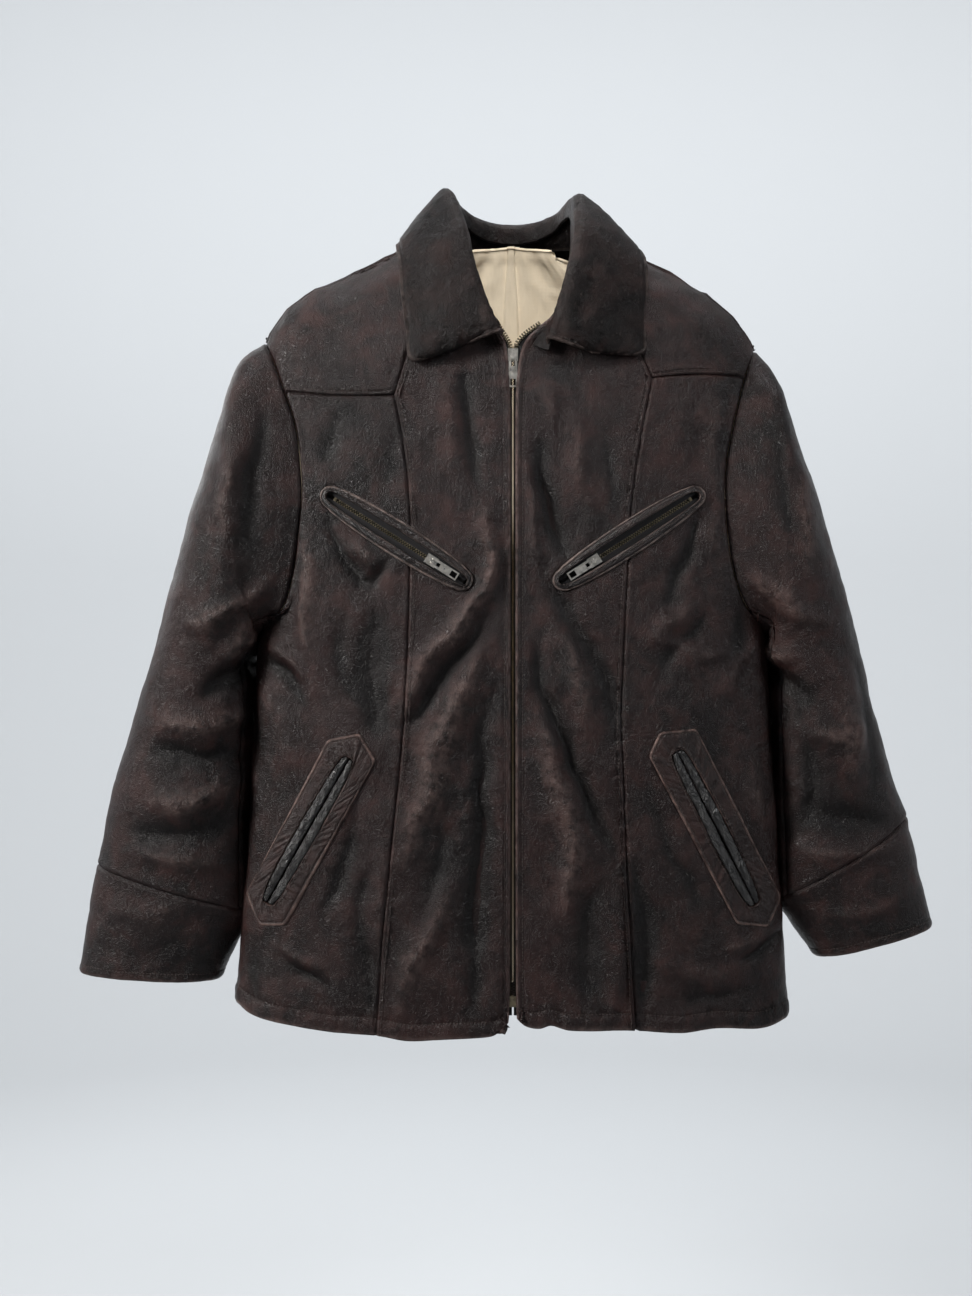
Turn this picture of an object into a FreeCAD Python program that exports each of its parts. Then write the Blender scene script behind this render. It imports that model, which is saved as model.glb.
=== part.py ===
"""Leather riding jacket, zipped up and hanging as it does on a hanger.

Units are millimetres.  +Z is up, the front faces -Y, and the wearer's left is +X.  The origin is the
centre of the shoulder line at the neck, where a hanger carries the jacket.  Every panel, pocket part,
zip part and lining piece is its own solid in its own STEP file.
"""
import FreeCAD
import Part
import math
import os

from FreeCAD import Vector as V

# ---------------------------------------------------------------- driving dimensions
LEATHER = 1.5            # shell leather
CLOTH = 0.7              # lining and pocket cloth
HEM_Z = -708.0           # lower edge of the body
YOKE_BACK_Z = -150.0     # back yoke seam
SHOULDER_SEAM_Y = -18.0  # the shoulder seam is rolled forward
SIDE_SEAM_Y = 4.0
FRONT_Y = -62.0          # the front hangs straight, so the zip runs on a plane
REACH = 330.0            # larger than any half size of the jacket, for cutting tools

# height, half width, back depth, and the squareness of the oval section
TORSO = [
    (HEM_Z, 257.0, 62.0, 2.8),
    (-600.0, 250.0, 62.0, 2.8),
    (-450.0, 240.0, 62.0, 2.9),
    (-332.0, 234.0, 64.0, 3.0),
    (-230.0, 232.0, 66.0, 3.0),
    (-150.0, 232.0, 66.0, 2.9),
    (-100.0, 229.0, 63.0, 2.7),
    (-78.0, 222.0, 61.0, 2.6),
    (-58.0, 208.0, 60.0, 2.5),
    (-38.0, 186.0, 58.0, 2.4),
    (-20.0, 154.0, 56.0, 2.3),
    (-4.0, 118.0, 54.0, 2.2),
    (10.0, 92.0, 52.0, 2.2),
    (16.0, 84.0, 50.0, 2.2),
]
CHEST_TOP_Z = -100.0     # above this the front surface leans back to the shoulder
NECK_FRONT_Y = -41.0     # front depth at the top of the neck

# sleeve sections: outer edge x, z, inner edge x, z, half depth, centre y, squareness
SLEEVE = [
    (241.0, -106.0, 235.0, -351.0, 60.0, 1.0, 2.5),
    (264.0, -165.0, 237.0, -358.0, 61.0, 2.0, 2.4),
    (284.0, -240.0, 239.0, -368.0, 61.0, 4.0, 2.3),
    (300.0, -305.0, 241.0, -384.0, 59.0, 6.0, 2.2),
    (318.0, -375.0, 245.0, -424.0, 57.0, 8.0, 2.2),
    (341.0, -462.0, 249.0, -490.0, 53.0, 8.0, 2.2),
    (368.0, -553.0, 264.0, -598.0, 45.0, 6.0, 2.2),
    (391.0, -642.0, 281.0, -660.0, 36.0, 4.0, 2.2),
]
SLEEVE_SPLIT = 3         # the section where the hanging sleeve starts to swing
SWING_GAP = 0.5
SLEEVE_WALL = 1.4

# seams of the wearer's left side in the front view, as height and x, but the back neckline as x and height
YOKE_FRONT_Z = -127.0
PRINCESS = [(-708, 115), (-640, 112), (-520, 105), (-400, 99), (-310, 97), (-245, 100), (-180, 108), (-127, 114),
            (-92, 97), (-45, 80), (30, 62)]
YOKE_INNER = [(-127, 114), (-92, 97), (-45, 80), (-31, 75), (10, 84), (22, 84)]
FRONT_EDGE = [(-708, 6.5), (-165, 6.5), (-110, 12), (-86, 24), (-60, 44), (-31, 71)]
NECK_BACK = [(86, 30), (84, 8), (62, -2), (0, -6)]
ARMHOLE_TOP_Z = -86.0
ARMPIT_Z = -345.0
ARMHOLE = [(-345, 234.4), (-337, 224), (-325, 213), (-309, 205), (-290, 199), (-270, 195), (-228, 191), (-191, 193),
           (-146, 203), (-115, 212), (-94, 221), (-86, 224.4)]
ARMHOLE_GAP = 0.3
SEAM_GAP = 0.2

# layers behind the face of the leather
CHAIN_DEPTH = 4.3        # centre plane of the zip chain
BAG_OUT, BAG_IN = 1.9, 5.0
LINING_OUT = 7.5
SLEEVE_LINING = 4.0
FACING_EDGE = 58.0       # where the leather facing meets the cloth lining

# main zip
ZIP_TOP_Z = -98.0        # throat of the slider when closed
ZIP_BOTTOM_Z = -672.0
TOOTH_PITCH = 2.4
TOOTH_REACH = 3.0        # from the middle of the chain to the tape
TOOTH_THICK = 2.4
TAPE_WIDTH = 14.0
TAPE_THICK = 0.6

# chest zips: centre line from the low inner end to the high outer end
CHEST_LOW = (46.0, -301.0)
CHEST_HIGH = (162.0, -227.0)
CHEST_CHAIN_DEPTH = 2.15
CHEST_SLIDER_AT = 26.0   # low end of the closed slider, along the zip
CHEST_SLOT = 8.0         # half width of the slot in the leather
CHEST_FRAME = 13.5       # half width of the stitched frame

# hand pockets: outline of the patch and of the mouth, wearer's left side
PATCH = [(120, -449), (151, -444), (247, -596), (232, -618), (206, -614), (113, -468)]
MOUTH_TOP, MOUTH_LOW = (139.0, -468.0), (222.0, -601.0)
MOUTH_HALF = 13.0        # half width of the window in the patch
MOUTH_GAP = 2.0          # half the gap between the two rolled lips
PATCH_LIFT = 0.1         # glue line under a patch

os.makedirs("parts", exist_ok=True)


# ---------------------------------------------------------------- small helpers
def export(name, shape):
    """One named STEP, holding only closed solids."""
    solids = [s for s in shape.Solids if s.Volume > 0.2]
    if not solids:
        raise ValueError("no solid in " + name)
    kept = solids[0] if len(solids) == 1 else Part.makeCompound(solids)
    kept.exportStep("parts/" + name + ".step")
    print(f"{name:28s} {len(solids):4d} solids {sum(s.Volume for s in solids) / 1000:9.2f} cm3",
          "" if all(s.isValid() for s in solids) else "INVALID")


def mirrored(shape):
    return shape.mirror(V(0, 0, 0), V(1, 0, 0))


def export_pair(name, left):
    """The wearer's left piece, and its mirror image on the right."""
    export(name + "_left", left)
    export(name + "_right", mirrored(left))


def spline_edge(points):
    curve = Part.BSplineCurve()
    curve.interpolate(points)
    return curve.toShape()


def outline_prism(points, y0, y1):
    """A prism along Y over an outline in x, z."""
    corners = [V(x, y0, z) for x, z in points]
    return Part.Face(Part.makePolygon(corners + corners[:1])).extrude(V(0, y1 - y0, 0))


def slot_outline(low, high, half):
    """A long rectangle about the line from low to high."""
    dx, dz = high[0] - low[0], high[1] - low[1]
    length = math.hypot(dx, dz)
    nx, nz = -dz / length * half, dx / length * half
    return [(low[0] + nx, low[1] + nz), (high[0] + nx, high[1] + nz),
            (high[0] - nx, high[1] - nz), (low[0] - nx, low[1] - nz)]


def block(x0, x1, y0, y1, z0, z1):
    return Part.makeBox(x1 - x0, y1 - y0, z1 - z0, V(x0, y0, z0))


def ribbon(stations, thickness):
    """A strip through stations of (edge point, other edge point, direction of its thickness)."""
    wires = []
    for a, b, out in stations:
        a, b, out = V(*a), V(*b), V(*out).normalize() * thickness
        wires.append(Part.makePolygon([a, b, b + out, a + out, a]))
    return Part.makeLoft(wires, True, False)


# ---------------------------------------------------------------- the body as a surface
def between(table, z, column=1):
    """Straight interpolation of one column of a table against its first column."""
    if z <= table[0][0]:
        return table[0][column]
    for low, high in zip(table, table[1:]):
        if z <= high[0]:
            t = (z - low[0]) / (high[0] - low[0])
            return low[column] + t * (high[column] - low[column])
    return table[-1][column]


def front_depth(z):
    if z <= CHEST_TOP_Z:
        return -FRONT_Y
    share = (z - CHEST_TOP_Z) / (TORSO[-1][0] - CHEST_TOP_Z)
    return -FRONT_Y + (NECK_FRONT_Y - FRONT_Y) * -(share ** 1.3)


def oval(z, back, proud):
    """Half width, half depth and squareness at one height, moved out by proud along the surface."""
    step = 2.0
    width, power = between(TORSO, z), between(TORSO, z, 3)
    flare = (between(TORSO, z + step) - between(TORSO, z - step)) / (2 * step)
    depth = between(TORSO, z, 2) if back else front_depth(z)
    return width + proud * math.hypot(1, flare), depth + proud, power


def on_body(angle, z, proud):
    """Angle 0 is the wearer's left side and -90 degrees the middle of the front."""
    c, s = math.cos(angle), math.sin(angle)
    width, depth, power = oval(z, s > 0, proud)
    return V(width * math.copysign(abs(c) ** (2 / power), c), depth * math.copysign(abs(s) ** (2 / power), s), z)


def angle_at_x(x, z, proud, back=False):
    width, depth, power = oval(z, back, proud)
    angle = math.acos(min(1.0, abs(x) / width) ** (power / 2))
    return angle if back else -angle


def angle_at_y(y, z, proud):
    width, depth, power = oval(z, y > 0, proud)
    return math.copysign(math.asin((abs(y) / depth) ** (power / 2)), y)


def front_y(x, z):
    return on_body(angle_at_x(x, z, 0.0), z, 0.0).y


def band(heights, near, far, proud_out, proud_in, count=9):
    """A layer of the body between two edges, which are functions of height and proud that give an angle."""
    wires = []
    for z in heights:
        lines = []
        for proud in (proud_out, proud_in):
            a0, a1 = near(z, proud), far(z, proud)
            lines.append([on_body(a0 + (a1 - a0) * k / (count - 1), z, proud) for k in range(count)])
        out, back = lines[0], lines[1][::-1]
        wires.append(Part.Wire([spline_edge(out), Part.makeLine(out[-1], back[0]),
                                spline_edge(back), Part.makeLine(back[-1], out[0])]))
    return Part.makeLoft(wires, True, True)


# ---------------------------------------------------------------- seams as edges for the bands
def at_x(table, gap=0.0):
    """An edge that follows a seam given as heights and x in the front view."""
    return lambda z, proud: angle_at_x(between(table, z) + gap, z, proud)


def outboard(back=False, gap=SEAM_GAP / 2):
    """The outer edge of a front or back piece: side seam, then armhole, then shoulder seam."""
    def edge(z, proud):
        side = 1 if back else -1
        if z <= ARMPIT_Z:
            return angle_at_y(SIDE_SEAM_Y + side * gap, z, proud)
        shoulder = angle_at_y(SHOULDER_SEAM_Y + side * gap, z, proud)
        reach = between(ARMHOLE, z)
        width = oval(z, back, proud)[0]
        if reach >= width:
            return shoulder if z > -200 else side * 0.02
        hole = angle_at_x(reach, z, proud, back)
        if not back:
            return min(hole, shoulder) if z > -200 else hole
        return hole if hole > 0.01 else shoulder
    return edge


# ---------------------------------------------------------------- sleeves as sewn patches
def patch(outer, inner):
    """A closed solid between two grids of points with the same corners' layout."""
    faces, rims = [], []
    for grid in (outer, inner):
        surface = Part.BSplineSurface()
        surface.interpolate(grid)
        faces.append(surface.toShape())
        u0, u1, v0, v1 = surface.bounds()
        rims.append([surface.uIso(u0), surface.uIso(u1), surface.vIso(v0), surface.vIso(v1)])
    for a, b in zip(*rims):
        faces.append(Part.makeRuledSurface(a.toShape(), b.toShape(), 1))
    shell = Part.makeShell(faces)
    shell.sewShape()
    solid = Part.makeSolid(shell)
    if solid.Volume < 0:
        solid.reverse()
    return solid


def sleeve_point(station, angle, inset, shift=0.0):
    """A point of one sleeve section.  Angle 0 is the outer edge, 180 the inner edge, and 90 the back."""
    ox, oz, ix, iz, depth, cy, power = station
    mid = V((ox + ix) / 2, cy, (oz + iz) / 2)
    u = V(ox - ix, 0, oz - iz)
    half = u.Length / 2 - inset
    u.normalize()
    down = V(u.z, 0, -u.x)
    c, s = math.cos(angle), math.sin(angle)
    along = u * (half * math.copysign(abs(c) ** (2 / power), c))
    return mid + down * shift + along + V(0, (depth - inset) * math.copysign(abs(s) ** (2 / power), s), 0)


def armhole_point(angle, inset):
    """The start of the sleeve on the body, at the same angles as the sleeve sections."""
    c, s = math.cos(angle), math.sin(angle)
    power = 2.6
    up = math.copysign(abs(c) ** (2 / power), c)
    middle, half = (ARMHOLE_TOP_Z + ARMPIT_Z) / 2, (ARMHOLE_TOP_Z - ARMPIT_Z) / 2
    z = middle + half * up
    back = s > 0
    x = between(ARMHOLE, z)
    body = on_body(angle_at_x(min(x, oval(z, back, 0.0)[0]), z, 0.0, back), z, 0.0)
    swing = math.copysign(abs(s) ** (2 / power), s)
    return V(x + ARMHOLE_GAP, body.y - inset * swing, z - inset * up)


def sleeve_patch(rows, angles, thickness):
    """A piece of sleeve: rows are functions of angle and inset."""
    outer = [[row(a, 0.0) for a in angles] for row in rows]
    inner = [[row(a, thickness) for a in angles] for row in rows]
    return patch(outer, inner)


def fan(first, last, count):
    return [first + (last - first) * k / (count - 1) for k in range(count)]


def station_row(station, shift=0.0, extra=0.0):
    return lambda a, inset: sleeve_point(station, a, inset + extra, shift)


def blend_station(low, high, t):
    return tuple(p + (q - p) * t for p, q in zip(low, high))


# ---------------------------------------------------------------- zip hardware
SLIDER_LENGTH = 11.0
SLIDER_HALF = 4.5
CAVITY_HALF_X, CAVITY_HALF_Y = 3.5, 1.45
PLATE = 0.9
DIAMOND_LENGTH = 2.6
BAIL_HEIGHT = 3.4
BAIL_HALF_X = 1.0
PIN_R = 0.65
PULL_LENGTH = 27.0
PULL_HALF = 3.8
CHEST_PIN_RISE = 1.5     # the chest sliders are turned end for end, so their pins sit higher


def zip_slider():
    """A slider with its mouth at the top, on a chain that runs along Z at y = 0.  Its face is at -Y."""
    outer = CAVITY_HALF_Y + PLATE
    body = block(-SLIDER_HALF, SLIDER_HALF, -outer, outer, 0, SLIDER_LENGTH)
    cavity = block(-CAVITY_HALF_X, CAVITY_HALF_X, -CAVITY_HALF_Y, CAVITY_HALF_Y, -1, SLIDER_LENGTH + 1)
    body = body.cut(cavity)
    body = body.cut(block(-SLIDER_HALF - 1, SLIDER_HALF + 1, -0.6, 0.6, -1, SLIDER_LENGTH + 1))
    mouth = SLIDER_LENGTH - DIAMOND_LENGTH
    diamond = outline_prism([(0, mouth), (1.3, mouth + 1.6), (0.9, SLIDER_LENGTH), (-0.9, SLIDER_LENGTH),
                             (-1.3, mouth + 1.6)], -outer, outer)
    body = body.fuse(diamond)
    feet_z = (1.2, 8.6)
    top = -outer - BAIL_HEIGHT
    bail = block(-BAIL_HALF_X, BAIL_HALF_X, top, -outer + 0.05, feet_z[0], feet_z[1])
    eye = block(-BAIL_HALF_X - 1, BAIL_HALF_X + 1, top + 0.9, -outer, feet_z[0] + 1.2, feet_z[1] - 1.2)
    return body.fuse(bail.cut(eye)).removeSplitter()


def pull_pivot():
    """Where the pull's cross pin lies, in the slider's own frame."""
    outer = CAVITY_HALF_Y + PLATE
    return V(0, -outer - (BAIL_HEIGHT - 0.9) / 2, 3.4)


def zip_pull():
    """The flat pull tab hanging from the bail, in the slider's own frame."""
    pin = pull_pivot()
    y0, y1 = pin.y - 0.5, pin.y + 0.5
    arm_in = BAIL_HALF_X + 0.6
    outline = [(-PULL_HALF + 1.2, pin.z + 1.1), (PULL_HALF - 1.2, pin.z + 1.1), (PULL_HALF, pin.z - 3),
               (PULL_HALF, pin.z - PULL_LENGTH), (-PULL_HALF, pin.z - PULL_LENGTH), (-PULL_HALF, pin.z - 3)]
    tab = outline_prism(outline, y0, y1)
    tab = tab.cut(block(-arm_in, arm_in, y0 - 1, y1 + 1, pin.z - 8.5, pin.z + 2))
    tab = tab.cut(block(-2.5, 2.5, y0 - 1, y1 + 1, pin.z - PULL_LENGTH + 1.3, pin.z - PULL_LENGTH + 7.3))
    rib = block(-1.6, 1.6, y0 - 0.35, y1, pin.z - 17.5, pin.z - 9.5)
    cross = Part.makeCylinder(PIN_R, 2 * arm_in + 1.0, V(-arm_in - 0.5, pin.y, pin.z), V(1, 0, 0))
    return tab.fuse(rib).fuse(cross).removeSplitter()


def tooth_comb(z0, z1, side, phase):
    """One row of metal teeth as a comb on the tape's edge, as one solid.  side is +1 or -1."""
    root, tip, body = TOOTH_REACH, 0.15, 1.6
    points = [(root, z0)]
    z = z0 + phase
    while z + 1.1 < z1:
        points += [(body, z), (tip, z + 0.15), (tip, z + 0.95), (body, z + 1.1)]
        z += TOOTH_PITCH
    points = [(root, z0), (body, z0 - 0.5)] + points[1:] + [(body, z1), (root, z1)]
    return outline_prism([(side * x, z) for x, z in points], -TOOTH_THICK / 2, TOOTH_THICK / 2)


def placed(shape, origin, angle=0.0, yaw=0.0):
    """A zip part turned in the plane of the front, then with that plane turned about Z, and moved."""
    turn = FreeCAD.Rotation(V(0, 0, 1), yaw) * FreeCAD.Rotation(V(0, 1, 0), angle)
    moved = shape.copy()
    moved.Placement = FreeCAD.Placement(origin, turn) * shape.Placement
    return moved


def main_zip():
    """Tapes, teeth, stops, box, slider and pull of the front zip."""
    y = FRONT_Y + CHAIN_DEPTH
    # above the slider's mouth the two rows part along straight edges towards the neckline
    edge = TOOTH_REACH + 0.1
    foot, head = V(edge, 0, ZIP_TOP_Z - 3.0), V(edge + 16.6, 0, ZIP_TOP_Z + 12.0)
    run = head - foot
    lean = math.degrees(math.atan2(run.x, run.z))
    towards_gap = V(-run.z, 0, run.x).normalize()
    stops = []
    for side, name in ((1, "left"), (-1, "right")):
        comb = tooth_comb(ZIP_BOTTOM_Z, ZIP_TOP_Z - 4.0, side, 0.0 if side > 0 else TOOTH_PITCH / 2)
        comb.translate(V(0, y, 0))
        solids = [comb]
        for k in range(6):
            if k < 5:
                piece = block(-1.3, 1.3, -TOOTH_THICK / 2, TOOTH_THICK / 2, -0.6, 0.6)
            else:
                piece = block(-1.3, 1.3, -1.5, 1.5, -1.2, 1.2)
            at = foot + run * (0.45 + k * TOOTH_PITCH / run.Length) + towards_gap * 1.4
            piece = placed(piece, V(side * at.x, y, at.z), side * lean)
            (solids if k < 5 else stops).append(piece)
        export("main_zip_teeth_" + name, Part.makeCompound(solids))
        outline = [(edge, ZIP_BOTTOM_Z - 6), (foot.x, foot.z), (head.x, head.z), (head.x + 6, head.z - 7),
                   (edge + TAPE_WIDTH, ZIP_TOP_Z - 24), (edge + TAPE_WIDTH, ZIP_BOTTOM_Z - 6)]
        export("main_zip_tape_" + name,
               outline_prism([(side * x, z) for x, z in outline], y - TAPE_THICK / 2, y + TAPE_THICK / 2))
    export("main_zip_top_stops", Part.makeCompound(stops))
    box = block(-4.2, 4.2, y - 2.2, y + 2.2, ZIP_BOTTOM_Z - 10, ZIP_BOTTOM_Z - 0.4)
    slot = block(-4.3, 0.0, y - 1.3, y + 1.3, ZIP_BOTTOM_Z - 8.4, ZIP_BOTTOM_Z)
    tape_slots = block(3.0, 5.0, y - 0.32, y + 0.32, ZIP_BOTTOM_Z - 11, ZIP_BOTTOM_Z + 1)
    export("main_zip_retainer_box", box.cut(slot).cut(tape_slots))
    pin = block(-2.9, -0.6, y - 1.0, y + 1.0, ZIP_BOTTOM_Z - 8.2, ZIP_BOTTOM_Z - 0.4)
    export("main_zip_insert_pin", pin)
    origin = V(0, y, ZIP_TOP_Z - SLIDER_LENGTH + 3.0)
    export("main_zip_slider", placed(zip_slider(), origin))
    export("main_zip_pull", placed(zip_pull(), origin))
    return origin


# ---------------------------------------------------------------- pockets
def chest_frame():
    """Origin, slant and yaw of the wearer's left chest zip, and its length."""
    (x0, z0), (x1, z1) = CHEST_LOW, CHEST_HIGH
    y0, y1 = front_y(x0, z0), front_y(x1, z1)
    yaw = math.degrees(math.atan2(y1 - y0, x1 - x0))
    slant = math.degrees(math.atan2(math.hypot(x1 - x0, y1 - y0), z1 - z0))
    length = math.sqrt((x1 - x0) ** 2 + (y1 - y0) ** 2 + (z1 - z0) ** 2)
    return V(x0, y0 + CHEST_CHAIN_DEPTH, z0), slant, yaw, length


def chest_zip():
    """The closed zip of the wearer's left chest pocket, laid along its own Z."""
    origin, slant, yaw, length = chest_frame()
    low, far = CHEST_SLIDER_AT, length - 5.0
    teeth, tapes = [], []
    for side in (1, -1):
        teeth.append(tooth_comb(low + 4.0, far, side, 0.0 if side > 0 else TOOTH_PITCH / 2))
        middle = side * 7.6
        tapes.append(block(middle - 4.5, middle + 4.5, -TAPE_THICK / 2, TAPE_THICK / 2, 1.0, length - 1.0))
    stops = [block(side * 4.4 - 1.2, side * 4.4 + 1.2, -1.2, 1.2, low - 3.0, low - 0.6) for side in (1, -1)]
    stops = [stop.cut(Part.makeCompound(tapes)) for stop in stops]
    stops.append(block(-2.9, 2.9, -1.2, 1.2, far + 0.3, far + 2.7))
    slider = zip_slider().mirror(V(0, 0, SLIDER_LENGTH / 2), V(0, 0, 1))
    pull = zip_pull()
    pull.translate(V(0, 0, CHEST_PIN_RISE))
    for shape in (slider, pull):
        shape.translate(V(0, 0, low))
    groups = {"chest_zip_tape": Part.makeCompound(tapes), "chest_zip_teeth": Part.makeCompound(teeth),
              "chest_zip_stops": Part.makeCompound(stops), "chest_zip_slider": slider, "chest_zip_pull": pull}
    for name, shape in groups.items():
        export_pair(name, placed(shape, origin, slant, yaw))
    turn = FreeCAD.Rotation(V(0, 0, 1), yaw) * FreeCAD.Rotation(V(0, 1, 0), slant)
    pivot = origin + turn.multVec(pull_pivot() + V(0, 0, low + CHEST_PIN_RISE))
    print("chest pull pivot", pivot, "travel", far - low - SLIDER_LENGTH)
    print("slide axis", turn.multVec(V(0, 0, 1)), "hinge axis", turn.multVec(V(-1, 0, 0)))


# ---------------------------------------------------------------- collar
def collar():
    """Stand, under collar and top collar, each lofted round the neck from one front end to the other."""
    stand_low = [(9, -60, -85), (40, -56, -59), (66, -42, -25), (82, -14, 6), (80, 16, 6), (52, 42, -3),
                 (0, 50, -7)]
    roll = [(17, -66, -76), (30, -65, -50), (44, -54, -14), (57, -28, 26), (60, 10, 53), (42, 42, 57),
            (0, 55, 57)]
    leaf = [(30, -70, -80), (107, -63, -92), (114, -52, -50), (114, -30, -8), (101, 22, 2), (66, 66, 4),
            (0, 78, 4)]

    def around(run):
        return run + [(-x, y, z) for x, y, z in reversed(run[:-1])]

    out_stand = around([(0.3, -1, 0.6), (0.4, -1, 0.5), (0.7, -0.8, 0.3), (1, -0.3, 0), (1, 0.3, 0),
                        (0.5, 1, 0), (0, 1, 0)])
    out_leaf = around([(0.1, -1, 0.2), (0.1, -1, 0.2), (0.3, -1, 0.3), (0.6, -0.5, 0.7), (0.7, 0.3, 0.6),
                       (0.3, 1, 0.4), (0, 1, 0.2)])
    rolls, leaves, lows = around(roll), around(leaf), around(stand_low)

    def lifted(points, by, amount):
        return [tuple(V(*p) + V(*n).normalize() * amount) for p, n in zip(points, by)]

    tops = [tuple(V(*p) - V(0, 0, 2.5)) for p in rolls]
    stand = ribbon(list(zip(lows, tops, out_stand)), 2.2)
    under = ribbon(list(zip(lifted(rolls, out_leaf, 2.6), lifted(leaves, out_leaf, 0.2), out_leaf)), 1.3)
    top = ribbon(list(zip(lifted(rolls, out_leaf, 4.1), lifted(leaves, out_leaf, 1.7), out_leaf)), 1.6)
    return stand, under, top


# ---------------------------------------------------------------- the jacket
def build_shell():
    """The leather of the body."""
    face, back = 0.0, -LEATHER
    g = SEAM_GAP / 2
    low = [HEM_Z, -680, -640, -600, -560, -520, -480, -440, -400, -370, ARMPIT_Z]
    mid = [-337, -325, -309, -290, -270, -249, -228, -210, -191, -168, -146, YOKE_FRONT_Z - g]
    chest_slot = outline_prism(slot_outline(CHEST_LOW, CHEST_HIGH, CHEST_SLOT), -REACH, -20)
    mouth_slot = outline_prism(slot_outline(MOUTH_LOW, MOUTH_TOP, MOUTH_HALF), -REACH, -8)

    top_rows = [-115, -104, -94, -89, -84, -76, -66, -56, -47, -38]
    centre_rows = low + mid[:-1] + [YOKE_FRONT_Z] + top_rows + [-34]
    centre = band(centre_rows, at_x(FRONT_EDGE), at_x(PRINCESS, -g), face, back)
    export_pair("front_centre", centre.cut(chest_slot))
    side = band(low + mid, at_x(PRINCESS, g), outboard(), face, back)
    export_pair("front_side", side.cut(chest_slot).cut(mouth_slot))
    yoke_rows = [YOKE_FRONT_Z + g] + top_rows + [-28, -18, -8, 2, 8]
    export_pair("front_yoke", band(yoke_rows, at_x(YOKE_INNER, g), outboard(), face, back))

    middle_back = math.pi / 2
    back_rows = low + mid[:-2] + [YOKE_BACK_Z - g]
    export_pair("back_panel", band(back_rows, outboard(True), lambda z, p: middle_back - 0.0005, face, back))
    top = [YOKE_BACK_Z + g, -146, -130, -115, -104, -94, -91, -88.5, -86.5, -84, -76, -66, -56, -47, -38, -28,
           -18, -8, 2, 8]
    half = band(top, outboard(True), lambda z, p: middle_back, face, back, 13)
    export("back_yoke", half.fuse(mirrored(half)).removeSplitter().cut(back_neck()))


def back_neck():
    outline = [(-x, z) for x, z in NECK_BACK] + NECK_BACK[-2::-1]
    return outline_prism(outline, SHOULDER_SEAM_Y - 20, REACH)


def build_sleeves():
    """The sewn head of each sleeve, and the hanging sleeve that swings below it."""
    split = SLEEVE[SLEEVE_SPLIT]
    head_rows = [armhole_point] + [station_row(s) for s in SLEEVE[:SLEEVE_SPLIT + 1]]
    halves = [sleeve_patch(head_rows, fan(0.0, side * math.pi, 15), SLEEVE_WALL) for side in (1, -1)]
    export_pair("sleeve_head", Part.makeCompound(halves))

    # the two lengthwise seams lie a little to the front of the outer edge and behind the inner edge
    front_seam, back_seam = math.radians(-150), math.radians(62)
    upper = [station_row(split, SWING_GAP)] + [station_row(s) for s in SLEEVE[SLEEVE_SPLIT + 1:-2]]
    cuff_top = SLEEVE[-2]
    gap = math.radians(0.1)
    rows = upper + [station_row(cuff_top, -SEAM_GAP)]
    export_pair("top_sleeve", sleeve_patch(rows, fan(front_seam, back_seam - gap, 17), SLEEVE_WALL))
    under = fan(back_seam, front_seam + 2 * math.pi - gap, 13)
    export_pair("under_sleeve", sleeve_patch(rows, under, SLEEVE_WALL))
    mid_cuff = blend_station(cuff_top, SLEEVE[-1], 0.5)
    cuff_rows = [station_row(cuff_top), station_row(mid_cuff), station_row(SLEEVE[-1])]
    cuff = [sleeve_patch(cuff_rows, fan(math.radians(-150), math.radians(30), 13), SLEEVE_WALL),
            sleeve_patch(cuff_rows, fan(math.radians(30) + gap, math.radians(210) - gap, 13), SLEEVE_WALL)]
    export_pair("cuff", Part.makeCompound(cuff))
    inner = [station_row(split, 4.0, SLEEVE_LINING)] + [station_row(s, 0.0, SLEEVE_LINING) for s in
                                                        SLEEVE[SLEEVE_SPLIT + 1:-1]]
    inner.append(station_row(SLEEVE[-1], -16.0, SLEEVE_LINING))
    tube = [sleeve_patch(inner, fan(0.0, side * math.pi, 13), CLOTH) for side in (1, -1)]
    export_pair("sleeve_lining", Part.makeCompound(tube))


def build_lining():
    """The cloth lining, the leather facings beside the zip, and the turned hem."""
    out, inn = -LINING_OUT, -LINING_OUT - CLOTH
    low = [HEM_Z + 26, -640, -600, -560, -520, -480, -440, -400, -370, ARMPIT_Z]
    upper = [-337, -325, -309, -290, -270, -249, -228, -210, -191, -168, -146, -130, -115, -104, -94, -84, -76]
    edge = [(HEM_Z, FACING_EDGE), (-100, FACING_EDGE), (-60, 66.0), (0, 90.0)]
    export_pair("lining_front", band(low + upper, at_x(edge), outboard(), out, inn))
    back_rows = low + upper + [-66, -56, -47, -38, -28, -20]
    half = band(back_rows, outboard(True), lambda z, p: math.pi / 2, out, inn, 13)
    export("lining_back", half.fuse(mirrored(half)).removeSplitter())
    out, inn = out - 1.0, inn - 1.6
    lip = [(HEM_Z, 6.5), (-165, 6.5), (-86, 24.0), (-70, 40.0)]
    facing_rows = [HEM_Z + 2, -640, -560, -480, -400, -320, -240, -165, -120, -86, -70]
    export_pair("front_facing", band(facing_rows, at_x(lip), at_x([(HEM_Z, FACING_EDGE + 8)]), out, inn, 7))
    hem_rows = [HEM_Z + 0.1, HEM_Z + 12, HEM_Z + 24, HEM_Z + 34]
    start = at_x([(HEM_Z, 19.0)])
    out, inn = -LEATHER - 0.3, -LEATHER - 1.5
    front = band(hem_rows, start, outboard(gap=0.0), out, inn)
    rear = band(hem_rows, outboard(True, 0.0), lambda z, p: math.pi / 2, out, inn)
    half = front.fuse(rear)
    export("hem_facing", half.fuse(mirrored(half)).removeSplitter())


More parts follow.
